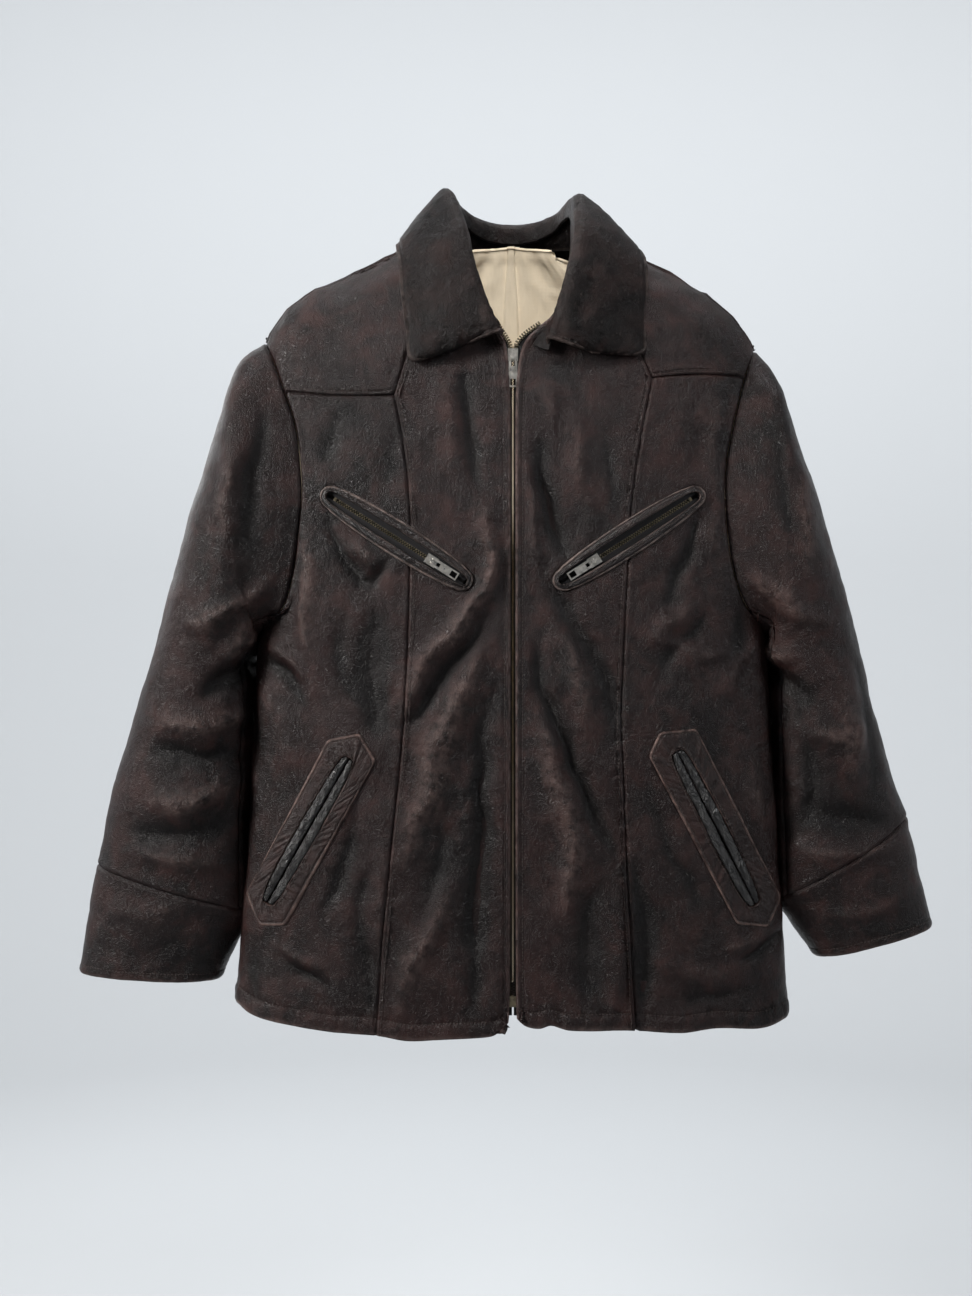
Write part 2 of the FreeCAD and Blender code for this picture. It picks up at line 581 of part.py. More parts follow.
def front_skin(z0, z1, x0, proud_out, proud_in, steps=8, far=-0.05):
    """A plain piece of the wearer's left front, as stock for pocket parts."""
    return band(fan(z0, z1, steps), at_x([(z0, x0)]), lambda z, p: far, proud_out, proud_in, 15)


def build_pockets():
    window = outline_prism(slot_outline(MOUTH_LOW, MOUTH_TOP, MOUTH_HALF), -REACH, 0)
    stock = front_skin(-640, -420, 100, LEATHER, PATCH_LIFT)
    export_pair("hand_pocket_patch", stock.common(outline_prism(PATCH, -REACH, 0)).cut(window))
    lips = front_skin(-640, -420, 100, 2.4, -LEATHER)
    inner_window = outline_prism(slot_outline(MOUTH_LOW, MOUTH_TOP, MOUTH_HALF - 0.05), -REACH, 0)
    slit = outline_prism(slot_outline(MOUTH_LOW, MOUTH_TOP, MOUTH_GAP), -REACH, 0)
    welts = sorted(lips.common(inner_window).cut(slit).Solids, key=lambda s: s.CenterOfMass.x)
    export_pair("hand_pocket_front_welt", welts[0])
    export_pair("hand_pocket_back_welt", welts[-1])
    hand_bag = [(122, -462), (150, -452), (236, -590), (232, -645), (128, -645), (112, -500)]
    front_ply = front_skin(-660, -430, 100, -BAG_OUT, -BAG_OUT - CLOTH)
    rear_ply = front_skin(-660, -430, 100, CLOTH - BAG_IN, -BAG_IN)
    mouth = outline_prism(slot_outline(MOUTH_LOW, MOUTH_TOP, MOUTH_GAP), -REACH, 0)
    shape = outline_prism(hand_bag, -REACH, 0)
    export_pair("hand_pocket_bag", Part.makeCompound([front_ply.common(shape).cut(mouth), rear_ply.common(shape)]))

    slot = outline_prism(slot_outline(CHEST_LOW, CHEST_HIGH, CHEST_SLOT), -REACH, -20)
    low = (CHEST_LOW[0] - 7, CHEST_LOW[1] - 4.4)
    high = (CHEST_HIGH[0] + 7, CHEST_HIGH[1] + 4.4)
    frame = outline_prism(slot_outline(low, high, CHEST_FRAME), -REACH, -20)
    stock = front_skin(-330, -200, 20, LEATHER, PATCH_LIFT, far=-0.4)
    export_pair("chest_pocket_frame", stock.common(frame).cut(slot))
    chest_bag = [(36, -306), (60, -284), (166, -216), (172, -236), (150, -400), (60, -400)]
    stock = front_skin(-410, -205, 20, -6.6, -7.2, far=-0.4)
    export_pair("chest_pocket_bag", stock.common(outline_prism(chest_bag, -REACH, 0)).cut(slot))
    chest_zip()


def build_neck():
    stand, under, top = collar()
    export("collar_stand", stand)
    export("under_collar", under)
    export("top_collar", top)
    export("neck_label", block(-5, 7, 48.9, 49.6, -16, 6))


build_shell()
build_sleeves()
build_lining()
build_pockets()
build_neck()
zip_origin = main_zip()
print("main pull pivot", zip_origin + pull_pivot())
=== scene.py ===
"""A worn leather riding jacket, hanging closed and empty, seen from the front.

Lengths in the tables are millimetres in the frame of the CAD model: the front faces -Y, +Z is up, and
side +1 is the wearer's left.
"""
import bpy
import math
import numpy as np
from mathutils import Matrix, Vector


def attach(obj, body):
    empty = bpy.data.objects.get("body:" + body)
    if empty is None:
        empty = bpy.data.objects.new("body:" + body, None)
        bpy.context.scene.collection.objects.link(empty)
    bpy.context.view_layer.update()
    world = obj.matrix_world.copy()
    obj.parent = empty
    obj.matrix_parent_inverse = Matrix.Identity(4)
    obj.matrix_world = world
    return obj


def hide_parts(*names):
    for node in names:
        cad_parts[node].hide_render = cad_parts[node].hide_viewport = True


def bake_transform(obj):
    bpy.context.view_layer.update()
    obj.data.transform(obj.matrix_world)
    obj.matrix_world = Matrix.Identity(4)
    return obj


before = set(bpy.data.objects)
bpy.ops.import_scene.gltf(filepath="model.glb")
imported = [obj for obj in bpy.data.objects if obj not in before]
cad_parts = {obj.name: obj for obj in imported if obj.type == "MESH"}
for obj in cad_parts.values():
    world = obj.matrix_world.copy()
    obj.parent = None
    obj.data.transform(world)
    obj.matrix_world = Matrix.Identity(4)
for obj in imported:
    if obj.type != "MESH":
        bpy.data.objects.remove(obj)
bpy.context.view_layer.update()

MM = 0.001
GRID = 2.4          # spacing of the leather grids
SPAN_STEPS = 16                       # points in each span of a curve

# ------------------------------------------------------------------ noise and small numeric helpers


def lattice(ix, iy, iz, seed):
    h = (ix * 374761393 + iy * 668265263 + iz * 1274126177 + seed * 974711) & 0xFFFFFFFF
    h = ((h ^ (h >> 13)) * 1103515245) & 0xFFFFFFFF
    h = ((h ^ (h >> 15)) * 668265263) & 0xFFFFFFFF
    return ((h ^ (h >> 16)) & 0xFFFF) / 32767.5 - 1.0


def noise(p, size, seed=0):
    """Smooth noise from -1 to 1 at points p, with cells of the given size (one number or three)."""
    q = np.asarray(p, float) / np.asarray(size, float)
    i = np.floor(q).astype(np.int64)
    f = q - i
    f = f * f * f * (f * (f * 6 - 15) + 10)
    total = np.zeros(q.shape[:-1])
    for dx in (0, 1):
        for dy in (0, 1):
            for dz in (0, 1):
                w = np.ones(q.shape[:-1])
                for axis, d in enumerate((dx, dy, dz)):
                    w = w * (f[..., axis] if d else 1 - f[..., axis])
                total += w * lattice(i[..., 0] + dx, i[..., 1] + dy, i[..., 2] + dz, seed)
    return total


def fbm(p, size, octaves=3, seed=0):
    total, gain = 0.0, 1.0
    size = np.asarray(size, float)
    for k in range(octaves):
        total = total + gain * noise(p, size / 2 ** k, seed + 17 * k)
        gain *= 0.5
    return total


def crease(p, size, seed=0):
    """Noise with rounded swells and narrow valleys, from about -1 to 1."""
    a = np.abs(noise(p, size, seed))
    b = np.abs(noise(p, np.asarray(size, float) * 0.53, seed + 5))
    return (np.sqrt(a + 0.004) + 0.5 * np.sqrt(b + 0.004)) * 1.35 - 1.0


def smoothstep(a, b, x):
    t = np.clip((x - a) / (b - a), 0, 1)
    return t * t * (3 - 2 * t)


def hump(d, height, centre, width):
    return height * np.exp(-((d - centre) / width) ** 2)


def unit(vectors):
    return vectors / np.maximum(np.linalg.norm(vectors, axis=-1, keepdims=True), 1e-9)


def run_of(points):
    """The distance run along a path at each of its points."""
    return np.concatenate([[0], np.cumsum(np.linalg.norm(np.diff(points, axis=0), axis=1))])


def run_share(points):
    run = run_of(points)
    return run / run[-1]


def read_at(want, have, points):
    """A path read at other places along it."""
    return np.stack([np.interp(want, have, points[:, k]) for k in range(points.shape[1])], 1)


def spline(a, b, c, d, t):
    """A Catmull-Rom span from b to c."""
    return 0.5 * (2 * b + (c - a) * t + (2 * a - 5 * b + 4 * c - d) * t ** 2 + (3 * b - a - 3 * c + d) * t ** 3)


def extended(points):
    return np.vstack([2 * points[0] - points[1], points, 2 * points[-1] - points[-2]])


def catmull(points, count, sharp=False):
    """Points resampled along a curve through them, evenly or at the given shares of its length."""
    dense = p = np.asarray(points, float)
    if not sharp and len(p) > 2:
        ext = extended(p)
        t = np.linspace(0, 1, SPAN_STEPS, endpoint=False)[:, None]
        dense = np.vstack([spline(*ext[k - 1:k + 3], t) for k in range(1, len(ext) - 2)] + [p[-1:]])
    length = run_of(dense)
    want = np.asarray(count) * length[-1] if np.ndim(count) else np.linspace(0, length[-1], count)
    return read_at(want, length, dense)


def noise_vector(p, size, seed):
    return np.stack([noise(p, size, seed + k) for k in range(3)], -1)


# ------------------------------------------------------------------ the body as a smooth surface
TORSO = np.array([                    # z, half width, depth of the back, squareness
    (-708.0, 257.0, 62.0, 2.8), (-600.0, 250.0, 62.0, 2.8), (-450.0, 240.0, 62.0, 2.9), (-332.0, 234.0, 64.0, 3.0),
    (-230.0, 232.0, 66.0, 3.0), (-150.0, 232.0, 66.0, 2.9), (-100.0, 229.0, 63.0, 2.7), (-78.0, 222.0, 61.0, 2.6),
    (-58.0, 208.0, 60.0, 2.5), (-38.0, 186.0, 58.0, 2.4), (-20.0, 154.0, 56.0, 2.3), (-4.0, 118.0, 54.0, 2.2),
    (10.0, 92.0, 52.0, 2.2), (16.0, 84.0, 50.0, 2.2)])
FRONT_Y, CHEST_TOP_Z, NECK_RISE = 62.0, -100.0, 21.0
SIDE_SEAM_Y, SHOULDER_SEAM_Y = 4.0, -18.0
Z_LOW, Z_STEP, Z_COUNT, ARC = -724.0, 2.0, 371, 400
FLAT_SHARE = 0.85                     # the share of the half width that is stepped in x and not in y


def front_depth(z):
    share = np.clip((z - CHEST_TOP_Z) / (TORSO[-1, 0] - CHEST_TOP_Z), 0, 1)
    return FRONT_Y - NECK_RISE * share ** 1.3


def section(z):
    """Half a level section from the middle of the front to the middle of the back, evenly spaced."""
    width, back, power = (np.interp(z, TORSO[:, 0], TORSO[:, k]) for k in (1, 2, 3))
    runs = []
    for depth, sign in ((float(front_depth(z)), -1), (back, 1)):
        fx = np.linspace(0, FLAT_SHARE, 200)
        top = (1 - FLAT_SHARE ** power) ** (1 / power)
        fy = np.linspace(top, 0, 120)[1:]
        x = np.concatenate([width * fx, width * (1 - fy ** power) ** (1 / power)])
        y = sign * depth * np.concatenate([(1 - fx ** power) ** (1 / power), fy])
        runs.append(np.stack([x, y], 1))
    path = np.vstack([runs[0], runs[1][::-1][1:]])
    length = run_of(path)
    return read_at(np.linspace(0, length[-1], ARC), length, path)


BODY = np.stack([section(Z_LOW + Z_STEP * k) for k in range(Z_COUNT)])


def body_at(share, z, side=1):
    """A point of the body.  share is 0 in the middle of the front and 1 in the middle of the back."""
    share, z = np.broadcast_arrays(np.asarray(share, float), np.asarray(z, float))
    v = np.clip((z - Z_LOW) / Z_STEP, 0, Z_COUNT - 1.001)
    u = np.clip(share, 0, 1) * (ARC - 1.001)
    i, j = v.astype(int), u.astype(int)
    fi, fj = (v - i)[..., None], (u - j)[..., None]
    xy = ((1 - fi) * ((1 - fj) * BODY[i, j] + fj * BODY[i, j + 1])
          + fi * ((1 - fj) * BODY[i + 1, j] + fj * BODY[i + 1, j + 1]))
    return np.stack([side * xy[..., 0], xy[..., 1], z], -1)


def row_at(z):
    v = min(max((z - Z_LOW) / Z_STEP, 0), Z_COUNT - 1.001)
    i = int(v)
    return BODY[i] * (1 - v + i) + BODY[i + 1] * (v - i)


def share_of_x(x, z, back=False):
    """The share round the body at which the surface reaches x, on its front or back."""
    row = row_at(z)
    widest = int(np.argmax(row[:, 0]))
    shares = np.linspace(0, 1, ARC)
    if back:
        return float(np.interp(abs(x), row[widest:, 0][::-1], shares[widest:][::-1]))
    return float(np.interp(abs(x), row[:widest + 1, 0], shares[:widest + 1]))


def share_of_y(y, z):
    row = row_at(z)
    return float(np.interp(y, row[:, 1], np.linspace(0, 1, ARC)))


# ------------------------------------------------------------------ folds
# Each fold is its width, its height, then x and z of its points in the front view.  Ridges are positive.
FRONT_FOLDS = [
    (8, -3.4, -46, -118, -36, -193, -28, -236), (11, 1.6, -62, -110, -56, -160, -50, -215),
    (10, 4.6, -30, -232, -19, -275, -17, -304, -38, -330, -63, -358, -84, -381, -96, -424),
    (7, -3.6, -21, -337, -46, -366, -67, -398, -92, -430),
    (15, 4.6, -17, -354, -40, -390, -64, -440, -80, -505, -104, -570),
    (9, -4.2, -17, -405, -29, -460, -25, -528, -32, -610, -34, -690),
    (12, 3.2, -52, -572, -75, -616, -95, -655, -99, -690), (10, -1.8, -62, -520, -66, -560, -84, -600),
    (6, -3.2, -168, -240, -151, -271, -135, -305, -124, -306, -110, -282),
    (9, 3.2, -140, -262, -130, -284, -122, -292), (17, -4.6, -128, -330, -126, -390, -118, -450),
    (9, -2.0, -152, -330, -154, -372, -140, -410), (9, 3.8, -186, -228, -183, -290, -187, -340, -172, -386),
    (7, 3.0, -226, -352, -203, -368, -180, -398), (6, -2.2, -222, -372, -205, -392, -186, -412),
    (6, -4.0, -196, -316, -222, -334, -240, -346), (12, 2.2, -224, -398, -205, -440, -200, -470),
    (8, -2.6, -134, -480, -148, -540, -170, -606), (9, -2.0, -128, -560, -134, -600, -126, -650, -130, -690),
    (7, 1.6, -114, -500, -118, -570, -114, -640), (5, -2.2, -207, -643, -186, -655, -160, -668),
    (6, 1.8, -215, -630, -190, -642, -166, -652), (7, -1.4, -236, -640, -238, -690),
    (10, -1.3, -98, -160, -108, -190, -118, -226), (7, -1.6, -150, -150, -160, -170, -170, -196),
    (5, -2.2, -186, -150, -184, -185), (7, -4.2, 23, -176, 34, -238, 44, -274, 52, -294),
    (6, 2.0, 14, -200, 20, -262, 22, -310), (8, 2.2, 62, -150, 60, -205, 70, -255),
    (7, -1.6, 84, -170, 88, -215, 92, -245), (7, 1.5, 28, -122, 36, -158),
    (10, -3.6, 22, -285, 55, -337, 76, -387, 89, -416, 86, -450), (10, 2.4, 36, -330, 60, -390, 66, -440),
    (8, -4.0, 25, -350, 27, -400, 36, -428, 58, -468, 72, -511, 92, -550),
    (13, 4.0, 24, -420, 40, -480, 52, -536, 45, -610), (12, -2.0, 76, -560, 66, -620, 72, -690),
    (9, 1.8, 92, -590, 96, -640, 90, -692), (8, -3.0, 112, -560, 117, -620, 119, -690),
    (10, 3.6, 184, -140, 185, -246, 189, -310), (7, -3.4, 168, -240, 151, -288, 131, -330),
    (8, 2.4, 156, -318, 138, -340, 128, -362), (7, -2.0, 178, -330, 158, -350, 140, -372, 128, -396),
    (9, 1.8, 120, -356, 160, -366, 200, -362), (10, -2.2, 216, -300, 206, -340, 212, -400),
    (8, 2.2, 226, -352, 206, -376, 190, -410), (10, 2.0, 210, -440, 222, -500, 232, -560),
    (8, -1.8, 120, -480, 140, -540, 172, -606), (6, 2.8, 190, -628, 220, -622, 246, -606),
    (5, -2.6, 205, -642, 228, -634, 250, -622), (9, 1.6, 130, -640, 160, -652, 200, -655),
    (6, -1.4, 140, -672, 180, -676, 220, -668),]
BACK_FOLDS = [
    (15, 3.4, -215, -300, -160, -330, -90, -345), (15, 3.2, 215, -310, 150, -345, 80, -352),
    (16, -2.6, -205, -350, -140, -392, -70, -410), (15, 2.6, 210, -370, 150, -405, 90, -420),
    (16, 2.4, -150, -180, -166, -250, -150, -320), (16, 2.4, 150, -180, 168, -250, 150, -330),
    (20, 3.2, -90, -430, -104, -540, -96, -690), (18, -2.8, -30, -440, -24, -560, -34, -700),
    (20, 3.2, 60, -430, 72, -560, 60, -700), (20, -2.6, 140, -450, 150, -560, 140, -690),
    (18, 2.4, -160, -440, -176, -560, -166, -690), (20, -2.0, 0, -170, 6, -240, -4, -320),]
SLEEVE_FOLDS = {
    -1: [
        (10, 5.0, -206, -325, -235, -345, -262, -372), (11, 4.0, -212, -300, -248, -322, -280, -340, -300, -340),
        (8, -4.0, -215, -350, -250, -385, -285, -405), (12, 4.0, -245, -420, -280, -432, -320, -425),
        (9, -3.2, -246, -455, -285, -462, -325, -450), (12, 3.6, -250, -475, -285, -498, -330, -500),
        (12, -2.6, -255, -520, -300, -532, -352, -524), (10, 2.8, -262, -560, -310, -552, -350, -540),
        (10, -2.6, -222, -150, -232, -210, -236, -270), (12, 2.8, -246, -170, -256, -240, -264, -300),
        (11, 2.0, -290, -590, -330, -606, -372, -600), (9, -1.4, -300, -630, -340, -640, -380, -632),],
    1: [
        (9, 4.6, 205, -325, 228, -352, 252, -378), (10, 3.6, 200, -290, 232, -312, 262, -330, 286, -336),
        (8, -3.6, 212, -350, 245, -392, 276, -410), (10, -2.8, 228, -150, 242, -205, 248, -262),
        (12, 3.0, 248, -180, 262, -240, 268, -300), (12, 3.0, 250, -430, 290, -440, 322, -432),
        (8, -2.6, 262, -415, 272, -480, 262, -540), (10, 3.0, 290, -380, 306, -440, 312, -510),
        (7, -2.0, 312, -370, 326, -430, 334, -490), (11, -2.4, 256, -500, 296, -520, 340, -512),
        (10, 2.6, 256, -545, 300, -552, 350, -540), (9, 1.8, 290, -600, 326, -598, 364, -580),]}
STROKE_POINTS = 9
WANDER = ((5.0, 26), (6.0, 30))       # how far, and over what length, the folds stray sideways and up
FOLD_GAIN = 1.8


def strokes(p, folds, seed):
    """The height of all folds at points p, with their lines made to wander a little."""
    (far_x, size_x), (far_z, size_z) = WANDER
    x, z = p[..., 0] + far_x * noise(p, size_x, seed), p[..., 2] + far_z * noise(p, size_z, seed + 1)
    total = np.zeros(np.shape(x))
    for width, height, *points in folds:
        path = catmull(np.reshape(points, (-1, 2)), STROKE_POINTS)
        best, along = np.full(np.shape(x), 1e9), np.zeros(np.shape(x))
        for k in range(len(path) - 1):
            a, d = path[k], path[k + 1] - path[k]
            t = np.clip(((x - a[0]) * d[0] + (z - a[1]) * d[1]) / (d @ d), 0, 1)
            gap = np.hypot(x - a[0] - t * d[0], z - a[1] - t * d[1])
            closer = gap < best
            best = np.where(closer, gap, best)
            along = np.where(closer, (k + t) / (len(path) - 1), along)
        taper = 0.15 + 0.85 * np.sin(np.pi * np.clip(along, 0, 1)) ** 0.7
        total += height * taper * (0.65 * np.exp(-(best / width) ** 2) + 0.35 * np.exp(-1.6 * best / width))
    return total


CHEST_LINE = np.array([(46.0, -301.0), (162.0, -227.0)])
MOUTH_LINE = np.array([(139.0, -468.0), (222.0, -601.0)])


def gap_to(line_ends, x, z):
    """Distance from a straight line in the front view, the same on both sides."""
    a, d = line_ends[0], line_ends[1] - line_ends[0]
    t = np.clip(((np.abs(x) - a[0]) * d[0] + (z - a[1]) * d[1]) / (d @ d), 0, 1)
    return np.hypot(np.abs(x) - a[0] - t * d[0], z - a[1] - t * d[1])


def wrinkles(p):
    """Small creases all over the leather."""
    return 1.05 * fbm(p, (34, 60, 46), 3, 3) + 0.36 * crease(p, (17, 30, 22), 11) + 0.10 * crease(p, (8, 14, 9), 29)


def body_relief(p):
    x, y, z = p[..., 0], p[..., 1], p[..., 2]
    front = smoothstep(20, -10, y)
    big = FOLD_GAIN * (front * strokes(p, FRONT_FOLDS, 54) + (1 - front) * strokes(p, BACK_FOLDS, 54))
    big = big + 1.3 * fbm(p + 14 * noise_vector(p, 70, 51), (75, 120, 120), 2, 7)
    calm = smoothstep(-60, -140, z) * 0.45 + 0.55
    near_zip = front * np.exp(-(x / 13.0) ** 4)
    near_chest = front * np.exp(-(gap_to(CHEST_LINE, x, z) / 17.0) ** 4)
    near_mouth = front * 0.55 * np.exp(-(gap_to(MOUTH_LINE, x, z) / 30.0) ** 4)
    keep = (1 - near_zip) * (1 - 0.9 * near_chest) * (1 - near_mouth)
    return keep * (big * calm) + wrinkles(p) * (1 - 0.5 * near_zip) * (1 - 0.5 * near_chest)


# ------------------------------------------------------------------ meshes from grids
COLLECTION = bpy.context.scene.collection


def mesh_object(name, verts, faces, material, attributes=None, smooth=True):
    mesh = bpy.data.meshes.new(name)
    mesh.from_pydata((np.asarray(verts) * MM).tolist(), [], faces if isinstance(faces, list) else faces.tolist())
    mesh.update()
    if smooth:
        mesh.shade_smooth()
    for key, values in (attributes or {}).items():
        layer = mesh.attributes.new(key, "FLOAT", "POINT")
        layer.data.foreach_set("value", np.asarray(values, np.float32))
    mesh.materials.append(material)
    obj = bpy.data.objects.new(name, mesh)
    COLLECTION.objects.link(obj)
    return obj


def quads(rows, cols, base=0, wrap=False):
    idx = base + np.arange(rows * cols).reshape(rows, cols)
    if wrap:
        idx = np.hstack([idx, idx[:, :1]])
    return np.stack([idx[:-1, :-1], idx[:-1, 1:], idx[1:, 1:], idx[1:, :-1]], -1).reshape(-1, 4)


def grid_normals(grid):
    """Unit normals of a grid of points, rows upwards and columns to the right seen from outside."""
    return unit(np.cross(np.gradient(grid, axis=1), np.gradient(grid, axis=0)))


def rim_loop(rows, cols):
    idx = np.arange(rows * cols).reshape(rows, cols)
    return np.concatenate([idx[0, :-1], idx[:-1, -1], idx[-1, :0:-1], idx[:0:-1, 0]])


def sheet_object(name, grid, material, slot, thick=1.5, wear=None, tuck=5.0):
    """A leather piece from a grid: its face, a rounded cut edge all round, and a turned-in strip behind."""
    rows, cols = grid.shape[:2]
    n = grid_normals(grid).reshape(-1, 3)
    flat = grid.reshape(-1, 3)
    loop = rim_loop(rows, cols)
    edge, normal = flat[loop], n[loop]
    along = np.roll(edge, -1, 0) - np.roll(edge, 1, 0)
    out = unit(np.cross(along, normal))
    rings = [edge - normal * thick * 0.45 + out * thick * 0.18, edge - normal * thick,
             edge - normal * (thick + 0.1) - out * tuck]
    verts = np.vstack([flat] + rings)
    faces = [quads(rows, cols)]
    count, base, prev = len(loop), len(flat), loop
    for k in range(len(rings)):
        ring = base + k * count + np.arange(count)
        faces.append(np.stack([prev, ring, np.roll(ring, -1), np.roll(prev, -1)], -1))
        prev = ring
    wear = np.zeros(len(flat)) if wear is None else wear.reshape(-1)
    wear = np.concatenate([wear] + [wear[loop] * k for k in (1.0, 0.4, 0.0)])
    return mesh_object(name, verts, np.vstack(faces), material, {"wear": wear})


def mirrored(grid, side):
    """Columns run to the right as seen from outside."""
    return grid if side > 0 else grid[:, ::-1]


def place(obj, nodes, body="jacket"):
    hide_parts(*nodes)
    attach(obj, body)


def sheet_piece(name, grid, material, slot, body="jacket", **look):
    place(sheet_object(name, grid, material, slot, **look), [name], body)


def spaced(length, marks_low, marks_high, step=None):
    """Positions from 0 to 1: given distances from either end, and an even run between them."""
    step = step or GRID
    low, high = np.array(marks_low, float), length - np.array(marks_high, float)[::-1]
    count = max(2, int((high[0] - low[-1]) / step))
    middle = np.linspace(low[-1], high[0], count + 1)[1:-1]
    return np.concatenate([low, middle, high]) / length


SEAM_MARKS = [0, 0.7, 1.5, 2.6, 3.8, 5.4, 7.4]
EDGE_MARKS = [0, 0.8, 1.8, 3.2, 5.0, 6.6, 7.6, 8.6, 10.4]
HEM_MARKS = [0, 0.8, 1.8, 3.4, 6.0, 9.0, 12.0, 13.8, 14.8, 15.8, 18.0]
MARKS = {"seam": SEAM_MARKS, "felled": SEAM_MARKS, "edge": EDGE_MARKS, "hem": HEM_MARKS, "none": [0, 1.5]}
STITCH_AT = {"felled": 3.8, "edge": 7.6, "hem": 14.8}
# For each kind of border: puckers (height, cell, centre, reach), raised strip (height, from, to),
# then grooves and wear as (height, centre, width).
BORDERS = {
    "seam": ((0.5, (5.5, 9, 9), 0, 5.5), (0.0, 1.0, 0.0), ((-1.45, 0, 1.5), (0.3, 4.0, 2.2)), (0.12, 2.4, 1.2)),
    "felled": ((0.8, (5.0, 9, 9), 0, 8.0), (0.55, 7.5, 1.6), ((-1.6, 0, 1.2), (-0.6, 3.8, 0.9)), (0.2, 1.9, 1.1)),
    "edge": ((0.45, (8.0, 9, 14), 0, 10.0), (0.5, 9.0, 3.0), ((-0.9, 0, 1.3), (-0.45, 7.6, 1.0)), (0.8, 1.0, 1.4)),
    "hem": ((2.0, (8.0, 9, 26), 13, 9.0), (0.9, 20.0, 10.0), ((-1.2, 0, 1.8), (-0.9, 14.8, 1.3)), (0.9, 1.2, 2.0))}


def border_profile(kind, d, run, seed):
    """Relief and wear beside a border, from the distance to it and the distance along it."""
    if kind not in BORDERS:
        return np.zeros_like(d), np.zeros_like(d)
    (gain, cell, centre, reach), (strip, strip_from, strip_to), grooves, wear = BORDERS[kind]
    q = np.stack([run, np.full_like(run, seed * 31.0), d * 0.7], -1)
    height = hump(d, gain, centre, reach) * crease(q, cell, seed) + strip * smoothstep(strip_from, strip_to, d)
    return height + sum(hump(d, *groove) for groove in grooves), hump(d, *wear)


stitch_paths = []


def coons(bottom, top, left, right, us, vs):
    """A grid between four edges, each a function of 0..1 that gives points of (share, z)."""
    b, t, l, r = bottom(us), top(us), left(vs), right(vs)
    u, v = us[None, :, None], vs[:, None, None]
    blend = (1 - v) * b[None] + v * t[None] + (1 - u) * l[:, None] + u * r[:, None]
    corner = (1 - u) * (1 - v) * b[0] + u * (1 - v) * b[-1] + (1 - u) * v * t[0] + u * v * t[-1]
    return blend - corner


def arc_run(grid, axis):
    step = np.linalg.norm(np.diff(grid, axis=axis), axis=-1)
    pad = np.zeros_like(np.take(step, [0], axis=axis))
    return np.cumsum(np.concatenate([pad, step], axis=axis), axis=axis)


def crossing(at, distance, surface):
    """The points where the columns of a surface reach a distance."""
    path = []
    for c in range(distance.shape[1]):
        order = np.argsort(distance[:, c])
        path.append([np.interp(at, distance[order, c], surface[order, c, a]) for a in range(3)])
    return np.array(path)


def dress(base, kinds, relief, seed, body):
    """Adds relief, seams, edge wear and painted light to a plain grid: painted shade in the fold hollows, and on the
    ridges a lighter tone that is partly rubbed wear and partly painted sheen.  kinds are for the bottom, top, left and
    right borders.
    """
    normal = grid_normals(base)
    height, wear = relief(base), np.zeros(base.shape[:2])
    # Painted shade and sheen: values below zero darken the colour in the hollows of the folds, and values above zero
    # lighten it on their ridges, partly as rubbed wear and partly as painted sheen.
    shade = 0.55 * smoothstep(1.2, 6.0, height) - 0.95 * smoothstep(0.6, -3.6, height)
    run_u, run_v = arc_run(base, 1), arc_run(base, 0)
    distances = [run_v, run_v[-1:] - run_v, run_u, run_u[:, -1:] - run_u]
    for k, (kind, d) in enumerate(zip(kinds, distances)):
        level = k < 2
        h, w = border_profile(kind, d, run_u if level else run_v, seed + k)
        height, wear = height + h, np.maximum(wear, w)
        if kind in STITCH_AT:
            surface, n = base + normal * height[..., None], normal
            if not level:
                d, surface, n = d.T, surface.transpose(1, 0, 2), n.transpose(1, 0, 2)
            row = int(np.argmin(np.abs(d[:, d.shape[1] // 2] - STITCH_AT[kind])))
            stitch_paths.append((crossing(STITCH_AT[kind], d, surface), n[row], body))
    return base + normal * height[..., None], wear + shade


# ------------------------------------------------------------------ seams of the body, from the front view
# One list for each side.  Points are (x, z) with x taken as a distance from the middle.
FRONT_EDGE = {
    1: [(5.5, -694), (3.0, -682), (2.3, -560), (2.2, -420), (2.2, -280), (2.2, -150), (4.6, -112), (9.0, -92),
        (19, -79), (33, -67), (50, -54), (71, -31)],
    -1: [(7.0, -697), (3.2, -684), (2.3, -560), (2.2, -420), (2.2, -280), (2.2, -150), (3.9, -112), (6.2, -92),
         (11, -80), (20, -68), (42, -52), (71, -31)]}
PRINCESS = {
    1: [(109, -702), (106, -640), (102, -570), (99, -500), (97, -440), (98, -370), (101, -310), (105, -240),
        (113, -180), (124, -121), (112, -96), (88, -55), (76, -31)],
    -1: [(122, -708), (116, -620), (106, -520), (98, -440), (94, -370), (92, -300), (91, -255), (95, -200),
         (101, -160), (106, -136), (94, -98), (82, -55), (76, -31)]}
YOKE_CORNER = 9                       # the place of the yoke's corner in the lists above
YOKE_SEAM = {1: [(124, -121), (150, -117.5), (180, -116), (207, -115)],
             -1: [(106, -136), (140, -136), (175, -135), (206, -133)]}
HEM = {1: [(5.5, -694), (12, -699), (24, -701), (34, -698), (48, -702), (70, -703), (109, -703), (150, -706),
           (185, -703), (225, -706), (250, -701)],
       -1: [(7.0, -697), (15, -706), (28, -709), (65, -711), (95, -712), (122, -708), (160, -706), (193, -702),
            (232, -696), (251, -688)]}
HEM_SIDE_Z = {1: -697.0, -1: -686.0}
HEM_BACK = [-706, -710, -707, -709]
YOKE_BACK_Z = -150.0
NECK_BACK = [(84, 8), (62, 3), (36, 4), (0, 4)]
ARMHOLE = {
    1: [(234.4, -345), (224, -337), (213, -325), (205, -309), (199, -290), (195, -270), (191, -228), (193, -191),
        (203, -146), (212, -115), (221, -94), (224.4, -86)],
    -1: [(234.4, -345), (222, -337), (210, -328), (203, -314), (197, -290), (192, -250), (190, -215), (195, -166),
         (206, -130), (216, -104), (222, -92), (224.4, -86)]}
